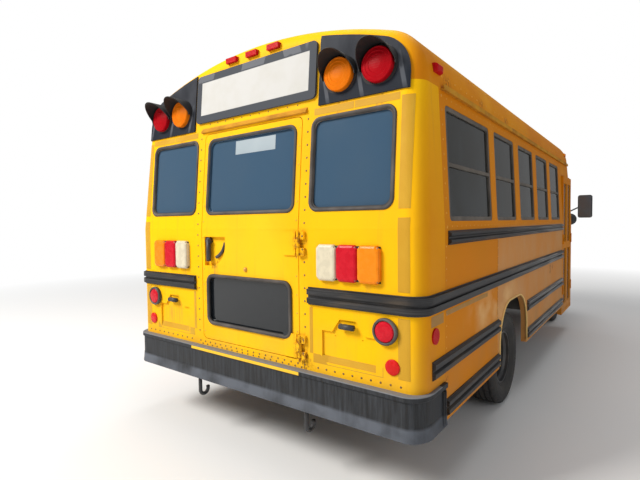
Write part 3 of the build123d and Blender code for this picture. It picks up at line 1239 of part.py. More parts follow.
# Outside fittings
def rail_bar(x, side, z):
    """One ribbed rub rail along a side wall: a backing strip and rounded ridges."""
    low, high = z
    face = BODY_HALF_WIDTH
    strip = block(x, sorted((side * face, side * (face + RAIL_BACK))), z)
    width = (high - low) / RAIL_RIDGES
    for index in range(RAIL_RIDGES):
        base = low + index * width
        points = [(face + RAIL_BACK - 1, base + 4), (face + RAIL_PROUD, base + 12),
                  (face + RAIL_PROUD, base + width - 12), (face + RAIL_BACK - 1, base + width - 4)]
        ridge = plate_yz(points, x)
        strip += ridge if side > 0 else mirrored(ridge)
    return strip


def rear_rail(side):
    """Rub rail that starts on the rear wall, wraps the corner and runs along the side."""
    low, high = MID_RAIL_Z
    outline = plan_ring(RAIL_BACK, low, high)
    width = (high - low) / RAIL_RIDGES
    for index in range(RAIL_RIDGES):
        base = low + index * width
        outline += plan_ring(RAIL_PROUD, base + 9, base + width - 9)
    end = (LEFT_WALL_END_X if side > 0 else RIGHT_WALL_END_X) - RAIL_END_MARGIN
    keep = block((-FAR, end), sorted((side * REAR_RAIL_INNER_Y, side * FAR)), (0, FAR))
    return outline & keep


def plan_ring(thickness, bottom, top):
    """Band of a given thickness on the outside of the body."""
    grown = Pos(0, 0, bottom - BODY_BOTTOM_Z) * extrude(plan_section(BODY_BOTTOM_Z, -thickness), top - bottom)
    return grown - OUTER


def rub_rails():
    """All black rub rails of the body."""
    solids = []
    for side in (1, -1):
        end = (LEFT_WALL_END_X if side > 0 else RIGHT_WALL_END_X) - RAIL_END_MARGIN
        arch_rear = REAR_AXLE_X - ARCH_HALF - ARCH_RAIL_MARGIN
        arch_front = REAR_AXLE_X + ARCH_HALF + ARCH_RAIL_MARGIN
        rails = [(SILL_RAIL_START_X, end, SILL_RAIL_Z), (LOW_RAIL_START_X, arch_rear, LOW_RAIL_Z),
                 (arch_front, end, LOW_RAIL_Z), (SKIRT_RAIL_START_X, arch_rear, SKIRT_RAIL_Z),
                 (arch_front, end, SKIRT_RAIL_Z)]
        for start, stop, z in rails:
            solids += rail_bar((start, stop), side, z).solids()
        solids += rear_rail(side).solids()
    return Compound(solids)


def rear_bumper():
    """Pressed steel rear bumper that wraps the corners."""
    back = -BUMPER_BACK
    half = BODY_HALF_WIDTH + BUMPER_SIDE_OUT

    def shell(low, high, outset, depth):
        span = BUMPER_WRAP_X - back
        radius = CORNER_RADIUS + outset
        solid = Pos(0, 0, low) * extrude(RectangleRounded(2 * span, 2 * (half + outset), radius).face(), high - low)
        core = Pos(depth, 0, low - 1) * extrude(
            RectangleRounded(2 * span, 2 * (half + outset - depth), radius - depth).face(), high - low + 2)
        ring = solid - core
        return Pos(span + back - outset, 0, 0) * (ring & block((-2 * span, 0), (-FAR, FAR), (0, FAR)))

    middle = shell(BUMPER_BOTTOM_Z, BUMPER_TOP_Z, -BUMPER_WAIST, BUMPER_THICKNESS)
    top = shell(BUMPER_TOP_Z - 60, BUMPER_TOP_Z, 0.0, BUMPER_WAIST + BUMPER_THICKNESS)
    foot = shell(BUMPER_BOTTOM_Z, BUMPER_BOTTOM_Z + 50, 0.0, BUMPER_WAIST + BUMPER_THICKNESS)
    step = block((back + 10, -FLAT_GAP), (-half + 60, half - 60), (BUMPER_TOP_Z - 12, BUMPER_TOP_Z))
    solid = middle + top + foot + step
    for side in (1, -1):
        y = sorted((side * (FRAME_Y - FRAME_WIDTH / 2), side * (FRAME_Y + FRAME_WIDTH / 2)))
        solid += block((back + 22, FRAME_BACK_X - FLAT_GAP), y, (FLOOR_UNDER_Z - FRAME_HEIGHT, BUMPER_TOP_Z - 12))
    return solid - OUTER


def tow_hooks():
    """Recovery eyes under the rear frame ends."""
    parts = []
    for side in (1, -1):
        y = side * HOOK_Y
        eye = Pos(-60, y, HOOK_Z) * Rot(90, 0, 0) * Torus(HOOK_RING, HOOK_ROD)
        shank = block((-72, -48), sorted((y - 12, y + 12)), (HOOK_Z + HOOK_RING, FLOOR_UNDER_Z - FRAME_HEIGHT - 6))
        arm = block((-72, 60), sorted((y - 12, y + 12)),
                    (FLOOR_UNDER_Z - FRAME_HEIGHT - 30, FLOOR_UNDER_Z - FRAME_HEIGHT - 6))
        pad = block((0, 60), sorted((side * (FRAME_Y - 30), side * (HOOK_Y + 12))),
                    (FLOOR_UNDER_Z - FRAME_HEIGHT - 30, FLOOR_UNDER_Z - FRAME_HEIGHT - FLAT_GAP))
        parts += (eye + shank + arm + pad).solids()
    return Compound(parts)


def face_layer(thickness, front):
    """Skin that lies on the outside of the rear wall or of the front cap."""
    way = 1 if front else -1
    return (Pos(way * thickness, 0, 0) * OUTER) - OUTER


def end_span(front):
    """X range that holds the rear wall's face or the front cap's face."""
    return (BODY_LENGTH - 2 * CAP_NOSE_SLOPE, BODY_LENGTH + 2 * WALL) if front else (-WALL, REAR_LEAN + 2 * WALL)


def lamp_panels():
    """Black lamp panels at the four upper corners, under the roof's edge."""
    outline = [(LAMP_PANEL_INNER_Y, LAMP_PANEL_BOTTOM_Z), (LAMP_PANEL_OUTER_Y, LAMP_PANEL_BOTTOM_Z),
               (LAMP_PANEL_OUTER_Y - 22, 2323.0), (937.0, 2481.0), (LAMP_PANEL_INNER_Y, 2571.0)]
    solids = []
    for front in (False, True):
        prism = plate_yz(outline, end_span(front), 10)
        panel = face_layer(LAMP_PANEL_THICKNESS, front) & prism
        solids += panel.solids() + mirrored(panel).solids()
    return Compound(solids)


def warning_lamps():
    """Round warning lamps, amber inside and red outside, with their visors."""
    solids = []
    for front in (False, True):
        way = 1 if front else -1
        face = end_surface(WARNING_LAMP_Z, front)
        for y in (AMBER_LAMP_Y, RED_LAMP_Y, -AMBER_LAMP_Y, -RED_LAMP_Y):
            base = face + way * (LAMP_PANEL_THICKNESS + FLAT_GAP)
            body = rod_x(sorted((base - way * 0, base + way * WARNING_LAMP_DEPTH)), y, WARNING_LAMP_Z,
                         WARNING_LAMP_RADIUS)
            visor = rod_x(sorted((base, base + way * VISOR_REACH)), y, WARNING_LAMP_Z,
                          WARNING_LAMP_RADIUS + VISOR_SKIN)
            visor -= rod_x(sorted((base - 5 * way, base + way * (VISOR_REACH + 5))), y, WARNING_LAMP_Z,
                           WARNING_LAMP_RADIUS)
            visor -= block((base - FAR, base + FAR), (y - 200, y + 200), (WARNING_LAMP_Z - 200, WARNING_LAMP_Z - 10))
            lamp = body + visor
            lamp -= Pos(way * (LAMP_PANEL_THICKNESS + FLAT_GAP), 0, 0) * OUTER
            solids += lamp.solids()
    return Compound(solids)


def signs():
    """Blank sign boards over the rear door and over the windscreen."""
    outline = rectangle((-SIGN_HALF_WIDTH, SIGN_BOTTOM_Z), (SIGN_HALF_WIDTH, SIGN_TOP_Z))
    solids = []
    for front in (False, True):
        solids += (face_layer(SIGN_THICKNESS, front) & plate_yz(outline, end_span(front), 30)).solids()
    return Compound(solids)


def tail_lamps():
    """Tail lamp clusters, round lamps and reflectors on the rear wall."""
    cluster = block((-TAIL_LAMP_PROUD, -FLAT_GAP), (TAIL_LAMP_INNER_Y, TAIL_LAMP_OUTER_Y),
                    (TAIL_LAMP_BOTTOM_Z, TAIL_LAMP_TOP_Z))
    cluster = fillet(cluster.edges().filter_by(Axis.X), 24)
    stop = rod_x((-26, -FLAT_GAP), 1017, 935, 69)
    reflector = rod_x((-8, -FLAT_GAP), 1055, 755, 41)
    return both_sides(Compound(cluster.solids() + stop.solids() + reflector.solids()))


def marker_lamps():
    """Small marker lamps on the roof corners and sides."""
    solids = []
    for y in (-190.0, 0.0, 190.0):
        for front in (False, True):
            z = 2598.0
            x = end_surface(z, front)
            way = 1 if front else -1
            lamp = block(sorted((x - way * 60, x + way * 24)), (y - 48, y + 48), (z - 17, z + 17))
            solids += (lamp - OUTER).solids()
    for side in (1, -1):
        for x in (400.0, LEFT_WALL_END_X + 700.0):
            z = 2338.0
            y = BODY_HALF_WIDTH - side_lean(z) - 16
            lamp = block((x - 48, x + 48), sorted((side * (y - 60), side * (y + 18))), (z - 17, z + 17))
            solids += (lamp - OUTER).solids()
        reflector = rod_y(148, sorted((side * (BODY_HALF_WIDTH + FLAT_GAP), side * (BODY_HALF_WIDTH + 8))), 907, 42)
        solids += reflector.solids()
    return Compound(solids)


def drip_rails():
    """Gutter rails along the roof edge and over the emergency door."""
    solids = []
    for side in (1, -1):
        half = BODY_HALF_WIDTH - side_lean(DRIP_Z)
        y = sorted((side * (half - 20), side * (half + 22)))
        gutter = block((REAR_SEAM_X - 190, BODY_LENGTH - 230), y, (DRIP_Z - 4, DRIP_Z + 14)) - OUTER
        solids += gutter.solids()
    door = block((-24, REAR_LEAN), (-477, 477), (EXIT_TOP_Z + 18, EXIT_TOP_Z + 34)) - OUTER
    solids += door.solids()
    return Compound(solids)


def mirror_set(side):
    """Tall outside mirror and round crossview mirror on tube arms."""
    sign = side
    head = block((5715, 5765), sorted((sign * 1200, sign * 1386)), (1520, 1860))
    head = fillet(head.edges().filter_by(Axis.X), 30)
    base = block((5530, 5650), sorted((sign * (CAB_HALF_WIDTH + 3.3), sign * (CAB_HALF_WIDTH + 13))), (1105, 1165))
    arm = rod_between((5620, sign * 1020, 1135), (5690, sign * 1100, 1620), 10)
    reach = rod_between((5690, sign * 1100, 1620), (5740, sign * 1230, 1690), 10)
    brace = rod_between((5560, sign * 1020, 1135), (5690, sign * 1100, 1620), 10)
    stalk = rod_between((5690, sign * 1100, 1620), (6040, sign * 1060, 1560), 9)
    bowl = Pos(6040, sign * 1060, 1500) * Sphere(90)
    bowl &= block((6040 - 100, 6040 + 20), (-FAR, FAR), (0, FAR))
    return base + arm + reach + brace + head + stalk + bowl


def rod_between(start, end, radius):
    """Round bar between two points."""
    first = Vector(*start)
    last = Vector(*end)
    run = last - first
    plane = Plane(origin=first, z_dir=run.normalized())
    return plane * Cylinder(radius, run.length, align=(Align.CENTER, Align.CENTER, Align.MIN))


def mirrors():
    """Both outside mirror sets."""
    return Compound(mirror_set(1).solids() + mirror_set(-1).solids())


def stop_arm():
    """Eight-sided stop blade on its hinge, folded back along the left wall."""
    y = BODY_HALF_WIDTH + STOP_STANDOFF
    radius = STOP_ACROSS / 2 / math.cos(math.radians(22.5))
    centre_x = STOP_HINGE_X - 40 - STOP_ACROSS / 2
    points = []
    for index in range(8):
        angle = math.radians(22.5 + 45 * index)
        points.append((centre_x + radius * math.cos(angle), STOP_Z + radius * math.sin(angle)))
    blade = plate_xz(points, (y - STOP_BLADE / 2, y + STOP_BLADE / 2))
    arm = block((centre_x + 120, STOP_HINGE_X), (y - 12, y + 12), (STOP_Z - 60, STOP_Z + 60))
    barrel = rod_z(STOP_HINGE_X, y, (STOP_Z - 90 + FLAT_GAP, STOP_Z + 90 - FLAT_GAP), 14)
    return blade + arm + barrel


NODES = {
    "side_wall_left": lambda: side_wall(1),
    "side_wall_right": lambda: side_wall(-1),
    "rear_wall": rear_wall,
    "roof": roof,
    "front_cap": front_cap,
    "entry_portal": entry_portal,
    "floor": floor,
    "window_sashes": window_sashes,
    "body_glass": body_glass,
    "rear_gaskets": lambda: both_sides(gasket(*REAR_LIGHT)),
    "rub_rails": rub_rails,
    "drip_rails": drip_rails,
    "rear_bumper": rear_bumper,
    "front_bumper": front_bumper,
    "tow_hooks": tow_hooks,
    "frame_rails": frame_rails,
    "rear_axle": rear_axle,
    "leaf_springs": leaf_springs,
    "front_axle": front_axle,
    "drive_shaft": drive_shaft,
    "fuel_tank": fuel_tank,
    "exhaust": exhaust,
    "engine": engine,
    "cab_shell": cab_shell,
    "cab_glass": cab_glass,
    "front_fenders": lambda: Compound(fender(1).solids() + fender(-1).solids()),
    "grille": grille,
    "headlamps": headlamps,
    "lamp_panels": lamp_panels,
    "warning_lamps": warning_lamps,
    "signs": signs,
    "tail_lamps": tail_lamps,
    "marker_lamps": marker_lamps,
    "mirrors": mirrors,
    "bench_seats": bench_seats,
    "seat_frames": seat_frames,
    "driver_seat": driver_seat,
    "dashboard": dashboard,
    "emergency_door": emergency_door,
    "emergency_door_glass": lambda: Compound(pane(*EXIT_UPPER).solids() + pane(*EXIT_LOWER).solids()
                                             + gasket(*EXIT_UPPER).solids() + gasket(*EXIT_LOWER).solids()),
    "emergency_door_handle": emergency_door_handle,
    "entry_leaf_front": lambda: entry_leaf(1),
    "entry_leaf_rear": lambda: entry_leaf(-1),
    "entry_glass_front": lambda: entry_glass(1),
    "entry_glass_rear": lambda: entry_glass(-1),
    "driver_door": driver_door,
    "driver_door_glass": driver_door_glass,
    "hood": hood,
    "stop_arm": stop_arm,
    "knuckle_left": lambda: knuckle(1),
    "knuckle_right": lambda: knuckle(-1),
    "front_wheel_left": lambda: front_wheel(1),
    "front_wheel_right": lambda: front_wheel(-1),
    "rear_wheels_left": lambda: rear_wheels(1),
    "rear_wheels_right": lambda: rear_wheels(-1),
    "front_tyre_left": lambda: tyre(FRONT_AXLE_X, FRONT_TYRE_Y),
    "front_tyre_right": lambda: tyre(FRONT_AXLE_X, -FRONT_TYRE_Y),
    "rear_tyres_left": lambda: rear_tyres(1),
    "rear_tyres_right": lambda: rear_tyres(-1),
}

if __name__ == "__main__":
    os.makedirs("parts", exist_ok=True)
    for name, make in NODES.items():
        shape = Pos(-MIDDLE_X, 0, 0) * make()
        export_step(shape, f"parts/{name}.step")
        print(name, round(shape.volume / 1e6, 2))
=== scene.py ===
"""Looks of the short school bus: paint, trim, rivets, tape, lenses, tyres, seats, light and camera."""
import math
from functools import partial
from itertools import product

import bpy
from mathutils import Matrix, Vector
from mathutils.bvhtree import BVHTree


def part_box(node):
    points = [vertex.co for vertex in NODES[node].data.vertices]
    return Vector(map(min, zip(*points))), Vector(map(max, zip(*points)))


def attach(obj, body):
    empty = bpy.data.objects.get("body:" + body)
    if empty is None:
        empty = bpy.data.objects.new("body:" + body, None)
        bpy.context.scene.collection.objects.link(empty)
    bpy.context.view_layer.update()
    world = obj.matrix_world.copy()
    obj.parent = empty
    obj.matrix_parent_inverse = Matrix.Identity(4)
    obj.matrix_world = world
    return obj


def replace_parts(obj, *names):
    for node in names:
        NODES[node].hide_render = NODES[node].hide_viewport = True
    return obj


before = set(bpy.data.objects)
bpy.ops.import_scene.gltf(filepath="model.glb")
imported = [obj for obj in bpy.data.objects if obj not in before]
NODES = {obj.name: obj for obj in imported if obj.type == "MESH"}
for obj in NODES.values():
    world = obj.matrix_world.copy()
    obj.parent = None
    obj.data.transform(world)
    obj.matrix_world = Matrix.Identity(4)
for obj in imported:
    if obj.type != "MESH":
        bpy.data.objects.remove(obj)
bpy.context.view_layer.update()
bpy.context.view_layer.update()

X, Y, Z = range(3)
BOTH = (1, -1)
EVEN = (1.0, 1.0, 1.0)

# Places in metres, ahead of the rear wall, out from the middle and up from the ground.
# The frame's origin lies midway between the bumpers, so the rear wall stands at REAR_X.
REAR_X = -2.976
HALF_WIDTH = 1.219
SILL_FACE = 0.0005
WALL_SEAM = 0.3
PANEL_SEAM = 1.3
REAR_AXLE = 1.781
FRONT_AXLE = 5.286
AXLE_HEIGHT = 0.372
# The roof's section: a wide crown arc that meets a shoulder arc on each side.
ROOF_TOP = 2.675
CROWN_RADIUS = 3.053
SHOULDER_RADIUS = 0.28
SHOULDER_Y = 0.903
SHOULDER_Z = 2.2438


def x_at(distance):
    """X in the frame of a point that far ahead of the rear wall."""
    return REAR_X + distance


def mirrored(side, low, high):
    """Y edges of a strip on one side, the lower first."""
    return sorted((side * low, side * high))


def paler(colour, factor, plus):
    """Colour made brighter, white at most."""
    return tuple(min(1.0, c * factor + plus) for c in colour)


# Materials
# Numbers of a mix node's sockets by data type: first input, second input, output.
MIX_SOCKETS = {"FLOAT": (2, 3, 0), "RGBA": (6, 7, 2)}


def wire(tree, value, socket):
    """Links a socket's value or sets a plain one."""
    if isinstance(value, bpy.types.NodeSocket):
        tree.links.new(value, socket)
    else:
        socket.default_value = value


def node(tree, kind, inputs=(), **settings):
    """Outputs of a new shader node with its settings made and its inputs wired."""
    made = tree.nodes.new("ShaderNode" + kind)
    for name, value in settings.items():
        setattr(made, name, value)
    for socket, value in dict(inputs).items():
        wire(tree, value, made.inputs[socket])
    return made.outputs


class Look:
    """A node material built up step by step on one surface shader."""

    def __init__(self, name, colour, rough, metal=0.0, shine=0.5, **sockets):
        self.mat = bpy.data.materials.new(name)
        self.mat.use_nodes = True
        self.tree = self.mat.node_tree
        self.bsdf = self.tree.nodes["Principled BSDF"]
        self.colour = (*colour, 1.0)
        self.rough = rough
        self.height = None
        for socket, value in dict(Metallic=metal, Specular_IOR_Level=shine, **sockets).items():
            self.bsdf.inputs[socket.replace("_", " ")].default_value = value
        self.position = self.node("TexCoord")["Object"]
        self.axes = self.node("SeparateXYZ", {0: self.position})

    def node(self, kind, inputs=(), **settings):
        """One shader node of this material."""
        return node(self.tree, kind, inputs, **settings)

    def math(self, kind, first, second=0.0):
        """One arithmetic step."""
        return self.node("Math", {0: first, 1: second}, operation=kind)[0]

    def times(self, first, *others):
        """Product of masks and numbers."""
        for other in others:
            first = self.math("MULTIPLY", first, other)
        return first

    def ramp(self, value, low, high, start=0.0, end=1.0):
        """Value carried from low..high to start..end and held beyond."""
        return self.node("MapRange", {"Value": value, "From Min": low, "From Max": high,
                                      "To Min": start, "To Max": end})["Result"]

    def along(self, axis, low, high, start=0.0, end=1.0):
        """Ramp along an axis."""
        return self.ramp(self.axes[axis], low, high, start, end)

    def off_middle(self):
        """Distance from the middle plane."""
        return self.math("ABSOLUTE", self.axes[Y])

    def band(self, axis, low, high, soft=0.004):
        """One between low and high along an axis, with soft edges."""
        return self.times(self.along(axis, low - soft, low + soft),
                          self.along(axis, high - soft, high + soft, 1.0, 0.0))

    def within(self, *bands):
        """Product of several bands (axis, low, high, soft)."""
        return self.times(*(self.band(*entry) for entry in bands))

    def noise(self, scale, detail=3.0, stretch=EVEN, rough=0.5):
        """Cloudy pattern fixed in the object."""
        at = self.node("Mapping", {"Vector": self.position, "Scale": stretch})[0]
        inputs = {"Vector": at, "Scale": scale, "Detail": detail, "Roughness": rough}
        return self.node("TexNoise", inputs)["Fac"]

    def waves(self, axis, spacing):
        """Sine ridges along an axis, one per spacing."""
        return self.math("SINE", self.times(self.axes[axis], 2 * math.pi / spacing))

    def mix(self, kind, mask, first, second):
        """One blend of two values or colours."""
        before, after, out = MIX_SOCKETS[kind]
        return self.node("Mix", {0: mask, before: first, after: second}, data_type=kind)[out]

    def tint(self, colour, *masks):
        """Lays another colour over the first where the product of the masks is one."""
        self.colour = self.mix("RGBA", self.times(*masks), self.colour, (*colour, 1.0))

    def mottle(self, colour, low, high, amount, *pattern):
        """Lays a colour over the first in clouds, as noise goes from low to high; gives the noise."""
        cloud = self.noise(*pattern)
        self.tint(colour, self.ramp(cloud, low, high, 0.0, amount))
        return cloud

    def dull(self, mask, rough):
        """Moves the roughness where the mask is one."""
        self.rough = self.mix("FLOAT", mask, self.rough, rough)

    def relief(self, height, strength, distance=0.002):
        """Adds one layer of surface relief."""
        inputs = {"Strength": strength, "Distance": distance, "Height": height}
        if self.height is not None:
            inputs["Normal"] = self.height
        self.height = self.node("Bump", inputs)["Normal"]

    def done(self):
        """Joins everything to the shader."""
        made = {"Base Color": self.colour, "Roughness": self.rough, "Normal": self.height}
        for socket, value in made.items():
            if value is not None:
                wire(self.tree, value, self.bsdf.inputs[socket])
        return self.mat


RUST = (0.2, 0.06, 0.018)
YELLOW = (0.95, 0.52, 0.005)
# Yellow as it looks in shade: painted shade on the flanks and sides, partly faded paint along the sides too.
SHADED_YELLOW = (0.66, 0.215, 0.005)


def body_paint(name, spots=(), streaks=(), fade_and_sky_sheen=False, side=False, edge=HALF_WIDTH - 0.055, soft=0.059):
    """School-bus yellow with painted shade in orange on the flanks: mottled, dusty low down, streaked and
    rusted in spots.
    """
    # With side set the paint starts from the shaded orange: painted shade, partly faded paint.
    look = Look(name, SHADED_YELLOW if side else YELLOW, 0.48, shine=0.04)
    # Beyond the edge the paint turns to the shaded orange: painted shade on the rounded corners and roof
    # shoulders.
    if not side:
        look.tint(SHADED_YELLOW, look.ramp(look.off_middle(), edge, edge + soft))
    # The side mottles are shaded copies of the yellow ones: painted shade.
    cloud = look.mottle((0.6, 0.22, 0.01) if side else (0.82, 0.36, 0.01), 0.42, 0.72, 0.55, 1.6, 4.0)
    look.mottle((0.76, 0.33, 0.03) if side else (0.93, 0.52, 0.045), 0.56, 0.8, 0.4,
                0.9, 5.0, (1.0, 1.0, 0.5))
    look.mottle((0.6, 0.27, 0.03), 0.56, 0.8, 0.3, 9.0, 4.0, (2.2, 2.2, 0.16), 0.6)
    # Ahead of the panel seam the paint turns paler and chalkier: partly faded paint, partly painted sky
    # reflection at the grazing view.
    if fade_and_sky_sheen:
        start = look.along(X, x_at(PANEL_SEAM - 0.004), x_at(PANEL_SEAM + 0.002))
        under_windows = look.along(Z, 1.46, 1.44)
        chalk = look.ramp(look.noise(2.4, 6.0, (1.0, 1.0, 0.7), 0.6), 0.3, 0.62, 0.35, 0.95)
        amount = look.times(start, under_windows, chalk)
        look.tint((0.62, 0.31, 0.12), amount)
        look.dull(amount, 0.62)
        splash = look.within((X, x_at(0.75), x_at(1.75), 0.2), (Z, 0.8, 1.05, 0.1))
        look.tint((0.8, 0.5, 0.22), splash, look.ramp(look.noise(3.0, 5.0, (0.7, 1.0, 1.0)), 0.44, 0.66))
    grime = look.ramp(look.noise(4.0, 5.0), 0.35, 0.75)
    look.tint((0.36, 0.22, 0.09), look.along(Z, 0.95, 0.4), grime, 0.55)
    for y, z, reach in streaks:
        mask = look.within((Y, y - 0.035, y + 0.035, 0.02), (Z, z - reach, z, 0.05))
        look.tint((0.42, 0.2, 0.05), mask,
                  look.ramp(look.noise(30.0, 3.0, (1.0, 2.5, 0.1)), 0.4, 0.75, 0.0, 0.8))
    for *place, reach in spots:
        mask = look.within(*((axis, at - reach, at + reach, reach / 2) for axis, at in enumerate(place)))
        look.tint(RUST, mask, look.ramp(look.noise(55.0, 5.0, (1.0, 1.0, 0.6), 0.7), 0.46, 0.62))
    look.dull(look.ramp(cloud, 0.35, 0.75), 0.5)
    look.relief(look.noise(220.0, 2.0), 0.05, 0.0006)
    look.relief(look.noise(1.4, 3.0), 0.2, 0.012)
    return look.done()


def plain(name, colour, rough, metal=0.0, worn=None, grain=180.0, depth=0.1, wear=0.5, **sockets):
    """A worn finish: mottled colour, patchy sheen and a fine grain."""
    look = Look(name, colour, rough, metal, **sockets)
    look.mottle(worn or paler(colour, 1.8, 0.02), 0.42, 0.75, wear, 6.0, 5.0)
    look.dull(look.ramp(look.noise(14.0, 4.0), 0.4, 0.7), min(1.0, rough + 0.18))
    look.relief(look.noise(grain, 3.0), depth, 0.001)
    return look.done()


def rail_material():
    """Black rub rails: grey streaks along the ridges that are partly chalky bloom and partly painted ridge
    highlights, dust in the grooves, and painted sky reflection on the flanks, paler towards the front.
    """
    look = Look("rub_rail", (0.012, 0.012, 0.013), 0.4, shine=0.4)
    # Grey streaks along the ridges: partly chalky bloom, partly painted highlights.
    bloom_and_highlight = look.mottle((0.075, 0.075, 0.08), 0.47, 0.72, 0.75, 7.0, 5.0, (0.35, 0.35, 26.0), 0.65)
    # Grey on the flanks that grows towards the front: painted sky reflection at the grazing view.
    far = look.along(X, x_at(1.4), x_at(3.4), 0.0, 0.65)
    flank = look.ramp(look.off_middle(), 1.2, 1.235)
    look.tint((0.4, 0.4, 0.4), far, flank, look.ramp(look.noise(5.0, 5.0, (0.3, 1.0, 30.0)), 0.42, 0.62))
    look.mottle((0.13, 0.085, 0.045), 0.55, 0.75, 0.35, 3.0, 5.0, (0.6, 1.0, 6.0))
    look.dull(look.ramp(bloom_and_highlight, 0.4, 0.7), 0.6)
    look.relief(look.noise(60.0, 3.0, (0.3, 0.3, 1.0)), 0.12)
    return look.done()


def bumper_material():
    """Black bumper: chalky vertical weathering, grey lower roll, a painted highlight along the top edge and
    a yellow strip.
    """
    look = Look("bumper_black", (0.014, 0.015, 0.017), 0.5, shine=0.28)
    chalk = look.mottle((0.06, 0.066, 0.077), 0.4, 0.72, 0.7, 16.0, 6.0, (1.0, 2.6, 0.22), 0.7)
    look.tint((0.125, 0.14, 0.17), look.band(Z, 0.38, 0.468, 0.008),
              look.ramp(look.noise(5.0, 4.0), 0.25, 0.6), 0.75)
    # Pale band along the rounded top lip: painted highlight.
    edge = look.within((Z, 0.629, 0.64, 0.001), (X, x_at(-0.1), x_at(0.2), 0.002))
    look.tint((0.24, 0.25, 0.27), edge, 0.7)
    strip = look.within((Z, 0.606, 0.627, 0.0012), (X, x_at(-0.1), x_at(-0.03), 0.002),
                        (Y, -0.466, 0.53, 0.002))
    look.tint((0.9, 0.52, 0.03), strip)
    look.dull(look.ramp(chalk, 0.4, 0.7), 0.7)
    look.relief(look.noise(90.0, 4.0, (1.0, 1.0, 0.5)), 0.22)
    return look.done()


def film_over(look, colour, high, amount, rough):
    """Faint film of dust on glass."""
    film = look.mottle(colour, 0.45, high, amount, 2.2, 5.0, (1.0, 1.0, 0.6), 0.6)
    look.dull(look.ramp(film, 0.5, 0.8), rough)


def cab_glass_material():
    """Tinted safety glass."""
    tone = (0.2, 0.25, 0.27)
    look = Look("glass_cab", tone, 0.05, shine=0.6, Transmission_Weight=0.7, IOR=1.45)
    film_over(look, paler(tone, 1.5, 0.035), 0.78, 0.55, 0.21)
    return look.done()


def window_material(name, dark_foot=False):
    """Glass with a painted blue sky reflection in the rear wall's windows, dark along the sides."""
    # The blue base colour is painted sky reflection; ahead of the rear corner the glass turns dark.
    look = Look(name, (0.066, 0.135, 0.225), 0.05, shine=0.4, Transmission_Weight=0.4, IOR=1.45)
    look.tint((0.02, 0.022, 0.02), look.along(X, x_at(0.2), x_at(0.24)))
    film_over(look, (0.12, 0.17, 0.22), 0.8, 0.25, 0.2)
    if dark_foot:
        look.tint((0.018, 0.022, 0.027), look.along(Z, 1.34, 1.36, 1.0, 0.0))
    return look.done()


def lens(name, colour, fluting=0.15):
    """Coloured lens: glossy, with moulded optics and a cloudier middle."""
    look = Look(name, colour, 0.26, shine=0.18)
    blotch = look.mottle(paler(colour, 1.3, 0.01), 0.42, 0.72, 0.45, 28.0, 4.0)
    look.dull(look.ramp(blotch, 0.4, 0.7), 0.3)
    look.relief(look.times(look.waves(Y, 0.011), look.waves(Z, 0.011)), fluting, 0.0012)
    return look.done()


def tape_material():
    """Old reflective tape: dull ochre with a fine honeycomb."""
    look = Look("reflective_tape", (0.56, 0.3, 0.025), 0.5, shine=0.08)
    cells = look.times(look.waves(Y, 0.0115), look.waves(Z, 0.01))
    look.tint((0.42, 0.21, 0.03), look.ramp(cells, 0.1, 0.7, 0.0, 0.3))
    look.mottle((0.62, 0.37, 0.04), 0.4, 0.7, 0.6, 5.0, 4.0)
    look.relief(cells, 0.2, 0.0006)
    return look.done()


def warning_lens(name, colour, pale):
    """Warning-lamp lens: fluted face and cloudy patches."""
    look = Look(name, colour, 0.4, shine=0.06)
    look.mottle(pale, 0.5, 0.75, 0.35, 22.0, 4.0)
    look.relief(look.waves(Z, 0.012), 0.12, 0.001)
    look.relief(look.noise(60.0, 3.0), 0.15, 0.001)
    return look.done()


def sign_material():
    """Blank sign boards: white field in a dark grey frame."""
    look = Look("blank_sign", (0.06, 0.066, 0.078), 0.55, shine=0.06)
    field = look.within((Y, -0.488, 0.488, 0.0015), (Z, 2.264, 2.497, 0.0015))
    look.tint((0.56, 0.555, 0.54), field)
    look.tint((0.5, 0.485, 0.44), field, look.ramp(look.noise(7.0, 5.0), 0.45, 0.75, 0.0, 0.5))
    patches = look.ramp(look.noise(5.5, 1.0, (1.0, 1.6, 0.6)), 0.52, 0.55, 0.0, 0.35)
    look.tint((0.26, 0.27, 0.3), look.band(Z, 2.505, 2.56, 0.004), patches)
    look.relief(look.noise(150.0, 3.0), 0.1, 0.0008)
    return look.done()


def panel_material():
    """Lamp panels: weathered dark grey paint, darker below, with paler slanted streaks by the lamps."""
    look = Look("lamp_panel", (0.046, 0.05, 0.06), 0.6, shine=0.06)
    look.mottle((0.018, 0.02, 0.027), 0.4, 0.66, 0.8, 5.0, 5.0, (1.0, 1.4, 0.7))
    look.tint((0.01, 0.014, 0.022), look.along(Z, 2.36, 2.24, 0.0, 0.75))
    lean, bend, inner, outer = 0.22, 2.3, 0.01, 0.014
    below = look.math("SUBTRACT", bend, look.axes[Z])
    slant = look.math("SUBTRACT", look.off_middle(), look.times(below, lean))
    for middle in (0.825, 0.6, 1.075):
        rise = look.ramp(slant, middle - outer, middle - inner)
        fall = look.ramp(slant, middle + inner, middle + outer, 1.0, 0.0)
        look.tint((0.13, 0.14, 0.16), rise, fall, look.band(Z, 2.17, 2.34, 0.03), 0.55)
    look.relief(look.noise(160.0, 3.0), 0.1, 0.0008)
    return look.done()


def marker_material():
    """Small marker lamps: red at the rear, amber ahead of the middle."""
    look = Look("marker_lens", (0.46, 0.006, 0.01), 0.32, shine=0.05)
    look.tint((0.85, 0.25, 0.005), look.along(X, -0.01, 0.01))
    look.relief(look.waves(Z, 0.008), 0.3, 0.001)
    look.mottle((0.66, 0.05, 0.04), 0.5, 0.75, 0.3, 40.0, 3.0)
    return look.done()


